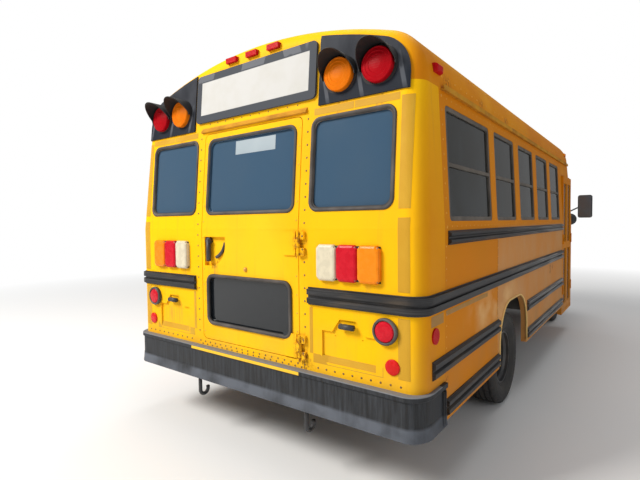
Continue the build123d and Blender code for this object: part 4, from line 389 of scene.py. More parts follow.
def stop_material():
    """Blank eight-sided stop blade: red with a white border, on a black bracket."""
    look = Look("stop_blade", (0.52, 0.01, 0.014), 0.4)
    blade_front, half_blade, border, height = 3.52, 0.2285, 0.02, 1.246
    reach = None
    for angle in (math.radians(45 * index) for index in range(8)):
        ahead = look.math("SUBTRACT", look.axes[X], x_at(blade_front - half_blade))
        above = look.math("SUBTRACT", look.axes[Z], height)
        along = look.math("ADD", look.times(ahead, math.cos(angle)), look.times(above, math.sin(angle)))
        reach = along if reach is None else look.math("MAXIMUM", reach, along)
    rim = look.ramp(reach, half_blade - border, half_blade - border + 0.001)
    bracket = (X, x_at(blade_front + 0.002), x_at(blade_front + 0.004))
    look.tint((0.78, 0.78, 0.76), rim, look.along(*bracket, 1.0, 0.0))
    look.tint((0.03, 0.03, 0.03), look.along(*bracket))
    look.mottle((0.5, 0.1, 0.08), 0.52, 0.8, 0.35, 9.0, 5.0)
    look.relief(look.noise(200.0, 2.0), 0.06, 0.0006)
    return look.done()


def headlamp_material():
    """Headlamp glass with fluting and painted shading along the flutes, over a bright bowl, amber in its
    outer part.
    """
    look = Look("headlamp_glass", (0.72, 0.74, 0.76), 0.12, 0.25, Coat_Weight=0.8)
    flutes = look.waves(Y, 0.016)
    # Darker stripes that follow the flutes: painted shading.
    look.tint((0.5, 0.52, 0.55), look.ramp(flutes, -0.6, 0.9, 0.0, 0.4))
    look.tint((0.8, 0.3, 0.02), look.ramp(look.off_middle(), 0.7, 0.704))
    look.relief(flutes, 0.5, 0.002)
    return look.done()


def tyre_material():
    """Tyre rubber: dusty sidewall, darker grooves."""
    look = Look("tyre_rubber", (0.028, 0.027, 0.027), 0.78)
    look.mottle((0.055, 0.049, 0.041), 0.38, 0.68, 0.6, 9.0, 5.0)
    look.relief(look.noise(240.0, 3.0), 0.25, 0.0012)
    return look.done()


def vinyl_material(name, colour):
    """Seat vinyl: fine leather-like grain and rubbed tops."""
    look = Look(name, colour, 0.52, Sheen_Weight=0.15)
    cells = look.node("TexVoronoi", {"Vector": look.position, "Scale": 260.0})
    look.mottle(paler(colour, 1.7, 0.01), 0.42, 0.72, 0.7, 8.0, 4.0)
    look.relief(cells["Distance"], 0.35, 0.0012)
    return look.done()


def floor_rubber():
    """Ribbed and dusty aisle rubber."""
    look = Look("floor_rubber", (0.05, 0.05, 0.05), 0.72)
    look.mottle((0.12, 0.11, 0.095), 0.4, 0.72, 0.7, 6.0, 5.0)
    look.relief(look.waves(Y, 0.012), 0.35, 0.0015)
    return look.done()


WARNING_Y = (0.71, 0.95)
HINGE_RUST = [(x_at(-0.02), -0.456, z, 0.04) for z in (0.725, 0.8, 1.335, 1.41)]
RUST_SPOTS = [(x_at(0.02), s * y, 2.15, 0.035) for s, y in product(BOTH, WARNING_Y)]
RUST_SPOTS += [(x_at(0.0), -0.47, 0.68, 0.05), (x_at(0.0), 0.3, 1.2, 0.03)]
STREAKS = [(s * y, 2.165, 0.1) for s, y in product(BOTH, WARNING_Y)]
STREAKS += [(s * y, 1.17, 0.045) for s, y in product(BOTH, (0.66, 0.92))]
STREAKS += [(0.74, 0.88, 0.1), (0.83, 0.88, 0.12)]
PAINT_REAR = body_paint("paint_rear", HINGE_RUST + RUST_SPOTS, STREAKS)
# The sides are shaded orange all over, painted shade with some fading, and paler ahead of the panel seam,
# partly faded paint and partly painted sky reflection.
PAINT_SIDE = body_paint("paint_side", [(x_at(3.36), -HALF_WIDTH, 0.968, 0.05),
                                       (x_at(3.5), -HALF_WIDTH, 0.972, 0.03),
                                       (x_at(0.3), -HALF_WIDTH, 0.62, 0.03)], fade_and_sky_sheen=True, side=True)
# The roof's shoulders turn to the shaded orange from a lower edge: painted shade.
PAINT_ROOF = body_paint("paint_roof", [(x_at(0.42 + 0.62 * k), s * 1.18, 2.235, 0.05)
                                       for k, s in product(range(3), BOTH)], edge=0.98, soft=0.17)
# The cab takes the shaded orange all over: painted shade, as on the sides.
PAINT_CAB = body_paint("paint_cab", side=True)
PAINT_DOOR = body_paint("paint_door", HINGE_RUST + [(x_at(0.0), 0.32, 1.22, 0.03)], [(0.31, 1.21, 0.16)])

TRIM = plain("black_trim", (0.028, 0.028, 0.03), 0.5, worn=(0.09, 0.09, 0.095))
CHASSIS = plain("chassis_black", (0.03, 0.029, 0.028), 0.62, worn=(0.1, 0.075, 0.055), grain=90.0,
                depth=0.25)
STEEL = plain("bare_steel", (0.14, 0.125, 0.115), 0.58, 0.6, worn=(0.2, 0.1, 0.055), grain=90.0, depth=0.3)
WHEEL = plain("wheel_black", (0.045, 0.045, 0.047), 0.45, worn=(0.16, 0.13, 0.1), grain=120.0, depth=0.12)
SASH = plain("sash_dark", (0.1, 0.085, 0.07), 0.48, 0.2, worn=(0.24, 0.2, 0.16), grain=240.0)
GASKET = plain("window_gasket", (0.045, 0.038, 0.034), 0.62, worn=(0.15, 0.125, 0.105), grain=300.0)
PLASTIC = plain("cab_plastic", (0.055, 0.056, 0.06), 0.62, worn=(0.1, 0.1, 0.105), grain=500.0, depth=0.25)
GRILLE = plain("grille_plastic", (0.03, 0.03, 0.032), 0.52, grain=400.0)
MIRROR_GLASS = plain("mirror_glass", (0.2, 0.25, 0.3), 0.06, 0.6, worn=(0.22, 0.27, 0.31), depth=0.0)
GLASS_CAB = cab_glass_material()
LENS_RED = lens("lens_red", (0.52, 0.004, 0.016))
LENS_AMBER = lens("lens_amber", (0.8, 0.215, 0.004))
LENS_WHITE = lens("lens_white", (0.6, 0.54, 0.4))
REFLECTOR = lens("reflector_red", (0.58, 0.01, 0.008), 0.35)
TAPE = tape_material()
SIDE_TAPE = plain("side_tape", (0.4, 0.2, 0.035), 0.55, worn=(0.3, 0.16, 0.05), grain=300.0)
BUMPER = bumper_material()
WARNING_RED = warning_lens("warning_red", (0.36, 0.002, 0.007), (0.46, 0.012, 0.015))
WARNING_AMBER = warning_lens("warning_amber", (0.7, 0.16, 0.003), (0.78, 0.25, 0.015))
VISOR = plain("visor_black", (0.01, 0.009, 0.009), 0.6, worn=(0.03, 0.026, 0.026), grain=200.0)
PANEL = panel_material()
MARKER = marker_material()
TYRE = tyre_material()
VINYL = vinyl_material("bench_vinyl", (0.03, 0.055, 0.048))
DRIVER_CLOTH = vinyl_material("driver_vinyl", (0.045, 0.045, 0.05))
DRIP = plain("drip_rust", (0.58, 0.27, 0.02), 0.6, worn=(0.26, 0.095, 0.02), grain=160.0, depth=0.25,
             wear=0.9, shine=0.1)
RIVET_YELLOW = plain("rivet_yellow", (0.74, 0.34, 0.02), 0.42, worn=(0.46, 0.24, 0.06), wear=0.8)
RIVET_DARK = plain("rivet_dark", (0.22, 0.11, 0.035), 0.55, worn=(0.1, 0.06, 0.03), wear=0.8)
SCREW = plain("screw_steel", (0.3, 0.28, 0.26), 0.4, 0.8, worn=(0.16, 0.1, 0.06))
LABEL = plain("blank_film", (0.3, 0.36, 0.4), 0.35, worn=(0.36, 0.42, 0.45))
SHADOW = plain("seam_shadow", (0.1, 0.045, 0.012), 0.7, wear=0.3)
LAMP_RIM = plain("lamp_rim", (0.05, 0.046, 0.045), 0.5, worn=(0.15, 0.14, 0.13), wear=0.7)
LIP_PAINT = plain("lip_paint", (0.78, 0.5, 0.16), 0.5, worn=(0.62, 0.34, 0.12))
DARK_CORNER = plain("glass_corner", (0.034, 0.038, 0.043), 0.4, worn=(0.04, 0.044, 0.05),
                    shine=0.1)

DRESS = [
    (PAINT_SIDE, "side_wall_left side_wall_right"), (PAINT_REAR, "rear_wall"),
    (PAINT_ROOF, "roof front_cap"), (PAINT_DOOR, "emergency_door"),
    (PAINT_CAB, "entry_portal cab_shell front_fenders hood driver_door entry_leaf_front entry_leaf_rear"),
    (floor_rubber(), "floor"), (SASH, "window_sashes"), (GASKET, "rear_gaskets"),
    (rail_material(), "rub_rails"), (DRIP, "drip_rails"), (BUMPER, "rear_bumper front_bumper"),
    (TRIM, "tow_hooks mirrors emergency_door_handle"),
    (CHASSIS, "frame_rails leaf_springs fuel_tank seat_frames"),
    (STEEL, "rear_axle front_axle drive_shaft exhaust engine knuckle_left knuckle_right"),
    (GLASS_CAB, "cab_glass entry_glass_front entry_glass_rear driver_door_glass"),
    (window_material("glass_body"), "body_glass"),
    (window_material("glass_door", True), "emergency_door_glass"),
    (GRILLE, "grille"), (headlamp_material(), "headlamps"), (PANEL, "lamp_panels"),
    (VISOR, "warning_lamps"), (sign_material(), "signs"), (MARKER, "marker_lamps"),
    (PLASTIC, "dashboard"), (stop_material(), "stop_arm"),
    (WHEEL, "front_wheel_left front_wheel_right rear_wheels_left rear_wheels_right"),
]
for material, dressed in DRESS:
    for name in dressed.split():
        for entry in NODES[name].material_slots:
            entry.material = material


# Geometry helpers
def around(sides):
    """Even turns of a full circle."""
    return [2 * math.pi * k / sides for k in range(sides)]


def arc(middle, radius, start, end, count):
    """Points on a circle from one angle to another in degrees."""
    turns = [math.radians(start + (end - start) * k / count) for k in range(count + 1)]
    return [(middle[0] + radius * math.cos(t), middle[1] + radius * math.sin(t)) for t in turns]


def steps(low, high, spacing):
    """Even steps from low to high, about one spacing apart."""
    count = max(1, round((high - low) / spacing))
    return [low + (high - low) * k / count for k in range(count + 1)]


def hoops(levels, size, closed=False):
    """Faces that join each ring of corners to the next one, and the last to the first where closed."""
    faces = []
    for level in range(levels if closed else levels - 1):
        following = (level + 1) % levels
        for k in range(size):
            n = (k + 1) % size
            faces.append([level * size + k, level * size + n, following * size + n, following * size + k])
    return faces


def surface(*names):
    """Search tree over the meshes of some solids."""
    corners = []
    faces = []
    for name in names:
        solid = NODES[name]
        base = len(corners)
        corners += [solid.matrix_world @ v.co for v in solid.data.vertices]
        faces += [[base + i for i in p.vertices] for p in solid.data.polygons]
    return BVHTree.FromPolygons(corners, faces)


def show(made):
    """Puts a new object into the scene."""
    bpy.context.scene.collection.objects.link(made)


def piece(name, corners, faces, material, body, smooth=False):
    """New mesh in the frame that rides on a body."""
    mesh = bpy.data.meshes.new(name)
    mesh.from_pydata([tuple(c) for c in corners], [], faces)
    mesh.materials.append(material)
    mesh.update()
    if smooth:
        mesh.polygons.foreach_set("use_smooth", [True] * len(mesh.polygons))
    made = bpy.data.objects.new(name, mesh)
    show(made)
    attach(made, body)
    return made


class Heap:
    """Corners and faces gathered for one piece."""

    def __init__(self):
        self.corners = []
        self.faces = []

    def add(self, corners, faces):
        """Adds a closed form."""
        base = len(self.corners)
        self.corners += corners
        self.faces += [[base + i for i in face] for face in faces]

    def loft(self, stations):
        """Closed form through rings of as many corners each."""
        count, size = len(stations), len(stations[0])
        ends = [list(range(size))[::-1], [(count - 1) * size + k for k in range(size)]]
        self.add([Vector(c) for ring in stations for c in ring], ends + hoops(count, size))

    def dome(self, spot, normal, radius, height, sides=8):
        """Low domed head on a surface."""
        side = normal.orthogonal().normalized()
        other = normal.cross(side)
        rings = ((1.0, -0.12), (1.0, 0.1), (0.72, 0.72))
        ways = [side * math.cos(t) + other * math.sin(t) for t in around(sides)]
        corners = [spot + way * radius * share + normal * height * rise
                   for share, rise in rings for way in ways]
        top = len(corners)
        faces = [list(range(sides))[::-1]] + hoops(len(rings), sides)
        faces += [[top - sides + k, top - sides + (k + 1) % sides, top] for k in range(sides)]
        self.add(corners + [spot + normal * height], faces)

    def rivets(self, places, probe, head, fits=None):
        """Heads (radius, height) where a probe meets a surface, if the spot and its normal fit."""
        for place in places:
            found = probe(*place)
            if found and (fits is None or fits(*found)):
                self.dome(*found, *head)

    def sheet(self, found, lift, depth=0.0008):
        """Closed thin sheet over a grid of surface points with their normals."""
        rows, columns = len(found), len(found[0])
        met = [pair for row in found for pair in row]
        total = len(met)
        faces = []
        for r, c in product(range(rows - 1), range(columns - 1)):
            a = r * columns + c
            quad = [a, a + 1, a + 1 + columns, a + columns]
            faces += [quad, [total + i for i in reversed(quad)]]
        rim = list(range(columns))
        rim += [r * columns + columns - 1 for r in range(1, rows)]
        rim += [(rows - 1) * columns + c for c in range(columns - 2, -1, -1)]
        rim += [r * columns for r in range(rows - 2, 0, -1)]
        faces += [[b, a, total + a, total + b] for a, b in zip(rim, rim[1:] + rim[:1])]
        self.add([spot + normal * lift for spot, normal in met]
                 + [spot - normal * depth for spot, normal in met], faces)

    def lay(self, probe, first, second, lift, spacing=0.05):
        """Thin sheet over the patch first x second found by a probe."""
        found = [[probe(a, b) for a in steps(*first, spacing)] for b in steps(*second, spacing)]
        if all(entry for row in found for entry in row):
            self.sheet(found, lift)

    def turned(self, profile, middle, sides=48):
        """Form turned about X through a middle from (radius, along) pairs."""
        self.loft([[Vector(middle) + Vector((along, radius * math.cos(t), radius * math.sin(t)))
                    for t in around(sides)] for radius, along in profile])

    def tube(self, points, radius, sides=10):
        """Round rod through points."""
        places = [Vector(p) for p in points]
        rings = []
        first = None
        for index, place in enumerate(places):
            ahead = (places[min(index + 1, len(places) - 1)] - places[max(index - 1, 0)]).normalized()
            first = ahead.orthogonal() if first is None else first - ahead * first.dot(ahead)
            first = first.normalized()
            second = ahead.cross(first)
            rings.append([place + (first * math.cos(t) + second * math.sin(t)) * radius
                          for t in around(sides)])
        self.loft(rings)

    def brick(self, along, across, up, chamfer, out):
        """Block between X, Y and Z ends, its face towards out (axis, sign) drawn in by the chamfer."""
        axis, sign = out
        low, high = zip(along, across, up)
        others = [n for n in range(3) if n != axis]
        depth = (high[axis] - low[axis]) * sign
        base = low[axis] if sign > 0 else high[axis]
        stations = []
        for share, inset in ((0.0, 0.0), (0.55, 0.0), (0.88, chamfer * 0.4), (1.0, chamfer)):
            ring = []
            for far in ((0, 0), (1, 0), (1, 1), (0, 1)):
                corner = [0.0, 0.0, 0.0]
                corner[axis] = base + depth * share
                for end, n in zip(far, others):
                    corner[n] = high[n] - inset if end else low[n] + inset
                ring.append(corner)
            stations.append(ring)
        self.loft(stations)

    def make(self, name, material, slot, smooth=False, body="bus"):
        """Piece of what was gathered."""
        return piece(name, self.corners, self.faces, material, body, smooth)


def hit(tree, start, way):
    """Surface point and outward normal met from a start along a direction, if any."""
    spot, normal, _, _ = tree.ray_cast(Vector(start), Vector(way))
    if spot is not None:
        return spot, -normal if normal.dot(Vector(way)) > 0 else normal


def rear_hit(tree, y, z):
    """Point met from one metre behind the bus."""
    return hit(tree, (x_at(-1.0), y, z), (1, 0, 0))


def front_hit(tree, y, z):
    """Point met from ahead of the bus."""
    return hit(tree, (x_at(7.0), y, z), (-1, 0, 0))


def side_hit(tree, side, x, z):
    """Point met from beside the bus."""
    return hit(tree, (x, side * 2.5, z), (0, -side, 0))


def top_hit(tree, x, y):
    """Point met from above the bus."""
    return hit(tree, (x, y, 3.5), (0, 0, -1))


REAR = surface("rear_wall")
DOOR = surface("emergency_door")
SIDES = {1: surface("side_wall_left"), -1: surface("side_wall_right")}
ROOF = surface("roof", "rear_wall", "front_cap")


# Rivets
def add_rivets():
    """Rivet rows on the rear wall, sill, side walls, roof and emergency door."""
    heads, dark, door = Heap(), Heap(), Heap()
    rear = partial(rear_hit, REAR)
    bolt, small, medium, large = (0.0065, 0.003), (0.0045, 0.002), (0.005, 0.0022), (0.0055, 0.0025)
    rear_face = lambda spot, normal: normal.x < -0.8
    on_skin = lambda spot, normal: abs(spot.y) < 1.222
    on_wall = lambda spot, normal: abs(spot.y) > 1.15
    foot = 0.662
    for side in BOTH:
        dark.rivets(product([side * 0.486], steps(0.735, 2.1, 0.078)), rear, bolt, rear_face)
        dark.rivets([(side * y, foot) for y in steps(0.52, 1.1, 0.058)], rear, bolt, rear_face)
    for half, z in ((0.48, foot), (0.455, 0.643)):
        for y in steps(-half, half, 0.052):
            dark.dome(Vector((x_at(SILL_FACE), y, z)), Vector((-1, 0, 0)), 0.006, 0.0028)
    dark.rivets([(y, 2.195) for y in steps(-0.4, 0.4, 0.08)], rear, (0.005, 0.003), rear_face)
    top, fall = 2.605, 0.16
    dark.rivets([(y, top - fall * y * y) for y in steps(-0.9, 0.9, 0.06)], rear, (0.0035, 0.0018))
    for side in BOTH:
        wall = partial(side_hit, SIDES[side], side)
        # Columns: probe, distances ahead of the rear wall, heights, head, fit.
        rows = [(wall, (WALL_SEAM + 0.005, PANEL_SEAM), steps(0.44, 1.36, 0.06), medium, on_skin),
                (wall, (0.318,), steps(1.46, 2.17, 0.075), large, None),
                (wall, steps(0.32, 3.84, 0.075), (1.466, 2.165), small, on_wall),
                (wall, (1.23, 1.922, 2.65, 3.34), steps(1.5, 2.12, 0.155), large, on_wall),
                (partial(side_hit, ROOF, side), steps(0.34, 3.86, 0.1), (2.275,), large, None)]
        for probe, ahead, heights, head, fits in rows:
            heads.rivets(product(map(x_at, ahead), heights), probe, head, fits)
    bows = map(x_at, (WALL_SEAM, PANEL_SEAM, 2.45, 3.6))
    heads.rivets(product(bows, steps(-1.06, 1.06, 0.085)), partial(top_hit, ROOF), large)
    heads.make("body_rivets", RIVET_YELLOW, "body_paint", True)
    dark.make("rear_rivets", RIVET_DARK, "body_paint", True)
    rear = partial(rear_hit, DOOR)
    door_face = lambda spot, normal: normal.x < -0.9
    door.rivets(product((0.425, -0.425), steps(0.74, 2.06, 0.11)), rear, medium, door_face)
    door.dome(*rear(0.005, 1.196), 0.016, 0.014, 16)
    door.make("door_rivets", RIVET_YELLOW, "body_paint", True, "emergency_door_body")


# Tape, seams and bare films
def add_tape():
    """Reflective tape on the rear wall, tape and seams on the sides, the door's bare film."""
    bands, flank, seams, film = Heap(), Heap(), Heap(), Heap()
    rear = partial(rear_hit, REAR)
    # Columns: inner and outer edge, foot and top. The outer strips follow the round corner closely.
    outer = [(1.086, 1.15, 0.7, 1.01), (1.086, 1.15, 1.142, 1.515), (1.086, 1.15, 1.56, 2.13)]
    inner = [(0.545, 1.0, 0.69, 0.742), (0.52, 0.543, 0.742, 1.01), (0.518, 0.534, 1.14, 2.1),
             (0.53, 0.8, 2.112, 2.15), (0.806, 1.075, 2.112, 2.15)]
    lift = 0.0009
    for side in BOTH:
        for near, far, foot, top in outer:
            bands.lay(rear, mirrored(side, near, far), (foot, top), 0.0012, 0.0085)
        for near, far, foot, top in inner:
            bands.lay(rear, mirrored(side, near, far), (foot, top), lift)
        wall = partial(side_hit, SIDES[side], side)
        flank.lay(partial(side_hit, REAR, side), (x_at(0.1), x_at(0.262)), (0.957, 1.012), lift)
        flank.lay(wall, (x_at(WALL_SEAM), x_at(1.05)), (0.985, 1.012), lift)
        for span in ((0.79, 1.015), (1.135, 1.355)):
            seams.lay(wall, (x_at(PANEL_SEAM - 0.0025), x_at(PANEL_SEAM + 0.0005)), span, 0.0005)
    bands.make("rear_tape", TAPE, "body_paint")
    flank.make("side_tape_strips", SIDE_TAPE, "body_paint")
    seams.make("side_seams", SHADOW, "body_paint")
    glass = surface("emergency_door_glass")
    film.sheet([[rear_hit(glass, y, z) for y in (-0.22, 0.14)] for z in (1.955, 2.045)], 0.0008, 0.0002)
    film.make("door_blank_film", LABEL, "glass", False, "emergency_door_body")


# Tail lamps
def rounded_lens(heap, y, z):
    """Domed rectangular lens with cut corners on the rear wall: y and z give its edges."""
    proud, cut, least_cut = 0.03, 0.02, 0.006
    rings = []
    levels = ((0.0, 0.0), (0.0, proud * 0.62), (0.005, proud * 0.88), (0.014, proud), (0.04, proud))
    for inset, depth in levels:
        a0, a1, b0, b1 = y[0] + inset, y[1] - inset, z[0] + inset, z[1] - inset
        c = max(least_cut, cut - inset * 0.4)
        outline = [(a0 + c, b0), (a1 - c, b0), (a1, b0 + c), (a1, b1 - c), (a1 - c, b1), (a0 + c, b1),
                   (a0, b1 - c), (a0, b0 + c)]
        rings.append([(x_at(0.0) - depth, py, pz) for py, pz in reversed(outline)])
    heap.loft(rings)


def add_tail_lamps():
    """Separate lenses with screws, round stop lamps with grey rims, round reflectors."""
    lenses = {"amber": Heap(), "red": Heap(), "white": Heap()}
    rims, screws, spots, backs = Heap(), Heap(), Heap(), Heap()
    near, far, foot, top, gap = 0.587, 0.994, 1.172, 1.373, 0.001
    width = (far - near) / 3
    for side in BOTH:
        for index, colour in enumerate(("white", "red", "amber")):
            low = near + index * width + gap
            y = mirrored(side, low, low + width - 2 * gap)
            rounded_lens(lenses[colour], y, (foot, top))
            for sy, sz in product((y[0] + 0.013, y[1] - 0.013), (foot + 0.014, top - 0.014)):
                screws.dome(Vector((x_at(-0.0215), sy, sz)), Vector((-1, 0, 0)), 0.0055, 0.0035)
        middle = (x_at(0.0), side * 1.017, 0.935)
        rims.turned([(0.069, 0.0), (0.071, -0.014), (0.069, -0.022), (0.06, -0.026), (0.0565, -0.022),
                     (0.056, -0.006)], middle)
        lenses["red"].turned([(0.0555, -0.003), (0.055, -0.018), (0.05, -0.0235), (0.03, -0.0265),
                              (0.004, -0.0275)], middle)
        spots.turned([(0.041, 0.0), (0.041, -0.006), (0.037, -0.0085), (0.005, -0.0085)],
                     (x_at(0.0), side * 1.055, 0.755))
        backs.brick((x_at(-0.012), x_at(0.002)), mirrored(side, near + 0.005, far - 0.005),
                    (foot + 0.005, top - 0.005), 0.002, (X, -1))
    lenses["amber"].make("tail_lens_amber", LENS_AMBER, "lamp")
    red = lenses["red"].make("tail_lens_red", LENS_RED, "lamp")
    lenses["white"].make("tail_lens_white", LENS_WHITE, "lamp")
    rims.make("stop_lamp_rims", LAMP_RIM, "lamp", True)
    screws.make("lamp_screws", SCREW, "lamp", True)
    backs.make("tail_lamp_backs", VISOR, "lamp")
    spots.make("rear_reflectors", REFLECTOR, "lamp", True)
    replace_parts(red, "tail_lamps")


# Tyres with tread
def tyre_mesh(heap, x, y):
    """Tyre with ribs, cross grooves at the shoulders and rings on its sidewalls."""
    # Outer half of the section from the bead to the centre groove: radius, distance from the tyre's middle.
    half = [(0.2045, 0.0735), (0.214, 0.0845), (0.2265, 0.0905), (0.232, 0.0885), (0.262, 0.104),
            (0.295, 0.1105), (0.318, 0.1095), (0.322, 0.111), (0.328, 0.1095), (0.346, 0.103),
            (0.358, 0.096), (0.3672, 0.0865), (0.369, 0.072), (0.361, 0.07), (0.361, 0.061), (0.37, 0.059),
            (0.3715, 0.027), (0.362, 0.025), (0.362, 0.015), (0.3717, 0.013)]
    hollow = [(0.226, 0.062), (0.29, 0.09), (0.345, 0.07)]
    profile = half + [(r, -a) for r, a in reversed(half)]
    profile += [(r, -a) for r, a in hollow] + hollow[::-1]
    sides, pitch = 168, 6
    corners = []
    for radius, along in profile:
        shoulder = radius > 0.357 and abs(along) > 0.072
        rib = radius > 0.3695 and 0.026 < abs(along) < 0.06
        for k, turn in enumerate(around(sides)):
            cut = 0.006 if shoulder and k % pitch in (0, 1) else 0.0045 if rib and k % pitch == 3 else 0.0
            reach = radius - cut
            corners.append(Vector((x + reach * math.cos(turn), y + along,
                                   AXLE_HEIGHT + reach * math.sin(turn))))
    heap.add(corners, [[a, d, c, b] for a, b, c, d in hoops(len(profile), sides, True)])


def add_tyres():
    """Detailed tyres in place of the plain ones."""
    # Columns: node, body, axle, distances of the tyres' middles from the bus's middle.
    table = (("front_tyre_", "wheel_front_", FRONT_AXLE, (0.873,)),
             ("rear_tyres_", "wheel_rear_", REAR_AXLE, (1.05, 0.793)))
    for (kind, body, axle, places), (side, name) in product(table, ((1, "left"), (-1, "right"))):
        heap = Heap()
        for y in places:
            tyre_mesh(heap, x_at(axle), side * y)
        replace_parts(heap.make(kind + name + "_tread", TYRE, "tyre", body=body + name), kind + name)


# Seats
def pad(heap, middle, size, crown, count=12):
    """Crowned cushion whose sides pull in between its corners; the crown lies along one axis."""
    known = {}
    corners = []
    faces = []

    def corner(*key):
        if key not in known:
            unit = [2 * value / count - 1 for value in key]
            out = []
            for axis in range(3):
                first, second = (unit[n] for n in range(3) if n != axis)
                full = 1.0 - (0.1 if axis == crown else 0.035) * max(abs(first), abs(second)) ** 6
                if axis == crown:
                    full -= 0.22 * (1 - (1 - first ** 6) * (1 - second ** 6))
                out.append(unit[axis] * full)
            length = max(abs(v) for v in out)
            soft = sum(abs(v) ** 7 for v in out) ** (1 / 7)
            known[key] = len(corners)
            corners.append(Vector([middle[n] + out[n] * length / soft * size[n] / 2 for n in range(3)]))
        return known[key]

    for axis, level, a, b in product(range(3), (0, count), range(count), range(count)):
        quad = []
        for da, db in ((0, 0), (1, 0), (1, 1), (0, 1)):
            key = [0, 0, 0]
            key[axis] = level
            key[(axis + 1) % 3] = a + da
            key[(axis + 2) % 3] = b + db
            quad.append(corner(*key))
        faces.append(quad if level else quad[::-1])
    heap.add(corners, faces)


def add_seats():
    """Padded benches and the driver's seat in place of the plain solids."""
    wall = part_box("bench_seats")[1][1]
    benches, driver = Heap(), Heap()
    rows, first, pitch, filling = 5, 0.56, 0.69, 0.8
    for row, side in product(range(rows), BOTH):
        x = x_at(first + pitch * row)
        middle = side * (wall - 0.43)
        pad(benches, (x + 0.2, middle, 1.125), (0.392, 0.852, 0.108), Z)
        pad(benches, (x - 0.04, middle, 1.43), (0.08, 0.856, 0.716), X)
    made = benches.make("bench_cushions", VINYL, "seat_vinyl", True)
    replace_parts(made, "bench_seats")
    x, y = x_at(4.29), 0.45
    pad(driver, (x + 0.24, y, 1.07), (0.476, 0.476, 0.118), Z)
    pad(driver, (x - 0.045, y, 1.395), (0.088, 0.456, 0.706), X)
    pad(driver, (x + 0.23, y, 0.875), (0.338, 0.298, 0.268), Y, 4)
    made = driver.make("driver_cushions", DRIVER_CLOTH, "cab_plastic", True)
    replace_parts(made, "driver_seat")


# Small parts
def add_trim():
    """Plate lamps, wheel-arch lips and mirror faces."""
    lamps, lips, faces = Heap(), Heap(), Heap()
    half, top, radius, foot = 0.435, 0.875, 0.3, 0.43
    front, back = x_at(REAR_AXLE) + half - radius, x_at(REAR_AXLE) - half + radius
    outline = [(back - radius, foot)] + arc((back, top - radius), radius, 180, 90, 12)
    outline += arc((front, top - radius), radius, 90, 0, 12) + [(front + radius, foot)]
    plane = x_at(5.7135)
    for side in BOTH:
        y, z = side * 0.784, 0.926
        lamps.tube([(x_at(-0.012), y - 0.045, z), (x_at(-0.012), y + 0.045, z)], 0.016, 14)
        lamps.tube([(x_at(0.012), y, z), (x_at(-0.01), y, z)], 0.01, 10)
        lips.tube([(x, side * (HALF_WIDTH + 0.002), z) for x, z in outline], 0.008, 8)
        low, high = mirrored(side, 1.208, 1.378)
        faces.loft([[(x, low, 1.53), (x, high, 1.53), (x, high, 1.85), (x, low, 1.85)]
                    for x in (plane, plane + 0.003)])
    lamps.make("plate_lamps", TRIM, "black_trim", True)
    lips.make("arch_lips", LIP_PAINT, "body_paint", True)
    faces.make("mirror_faces", MIRROR_GLASS, "glass")


def bead(heap, tree, across, up, lift=0.0):
    """Rubber bead round a window in the rear: y and z edges; follows the wall's lean."""
    radius, beyond = 0.055, 0.018
    middle = (across[0] + across[1]) / 2
    foot = rear_hit(tree, middle, up[0] - beyond)[0]
    top = rear_hit(tree, middle, up[1] + beyond)[0]
    slope = (top.x - foot.x) / (top.z - foot.z)
    # Section as (out of the window, proud of the wall).
    section = [(-0.018, -0.01), (-0.017, 0.0), (-0.012, 0.004), (-0.006, 0.007), (0.001, 0.007),
               (0.005, 0.004), (0.006, -0.008)]
    right, left = across[0] + radius, across[1] - radius
    low, high = up[0] + radius, up[1] - radius
    corners = []
    for cy, cz, start in ((left, high, 0), (right, high, 90), (right, low, 180), (left, low, 270)):
        for ny, nz in arc((0.0, 0.0), 1.0, start, start + 90, 8):
            y, z = cy + radius * ny, cz + radius * nz
            wall = foot.x + slope * (z - foot.z)
            corners += [Vector((wall - proud - lift, y + ny * out, z + nz * out)) for out, proud in section]
    heap.add(corners, hoops(len(corners) // len(section), len(section), True))


def add_beads():
    """Rubber beads round the windows of the rear wall and of the emergency door, and its glass's corner."""
    wall, door, corner = Heap(), Heap(), Heap()
    for side in BOTH:
        bead(wall, REAR, mirrored(side, 0.519, 1.055), (1.562, 2.094))
    wall.make("rear_window_beads", GASKET, "black_trim", True)
    bead(door, DOOR, (-0.4, 0.4), (1.56, 2.08))
    bead(door, DOOR, (-0.382, 0.382), (0.801, 1.142), 0.008)
    door.make("door_window_beads", GASKET, "black_trim", True, "emergency_door_body")
    corner.brick((x_at(-0.0112), x_at(-0.0102)), (-0.372, -0.3255), (0.812, 0.84), 0.0001, (X, -1))
    corner.make("door_glass_corner", DARK_CORNER, "glass", False, "emergency_door_body")


def add_sill():
    """Painted sill plate between the emergency door and the bumper."""
    heap = Heap()
    heap.brick((x_at(SILL_FACE), x_at(0.04)), (-0.5595, 0.5595), (0.56, 0.6675), 0.0005, (X, -1))
    heap.make("door_sill", PAINT_REAR, "body_paint")


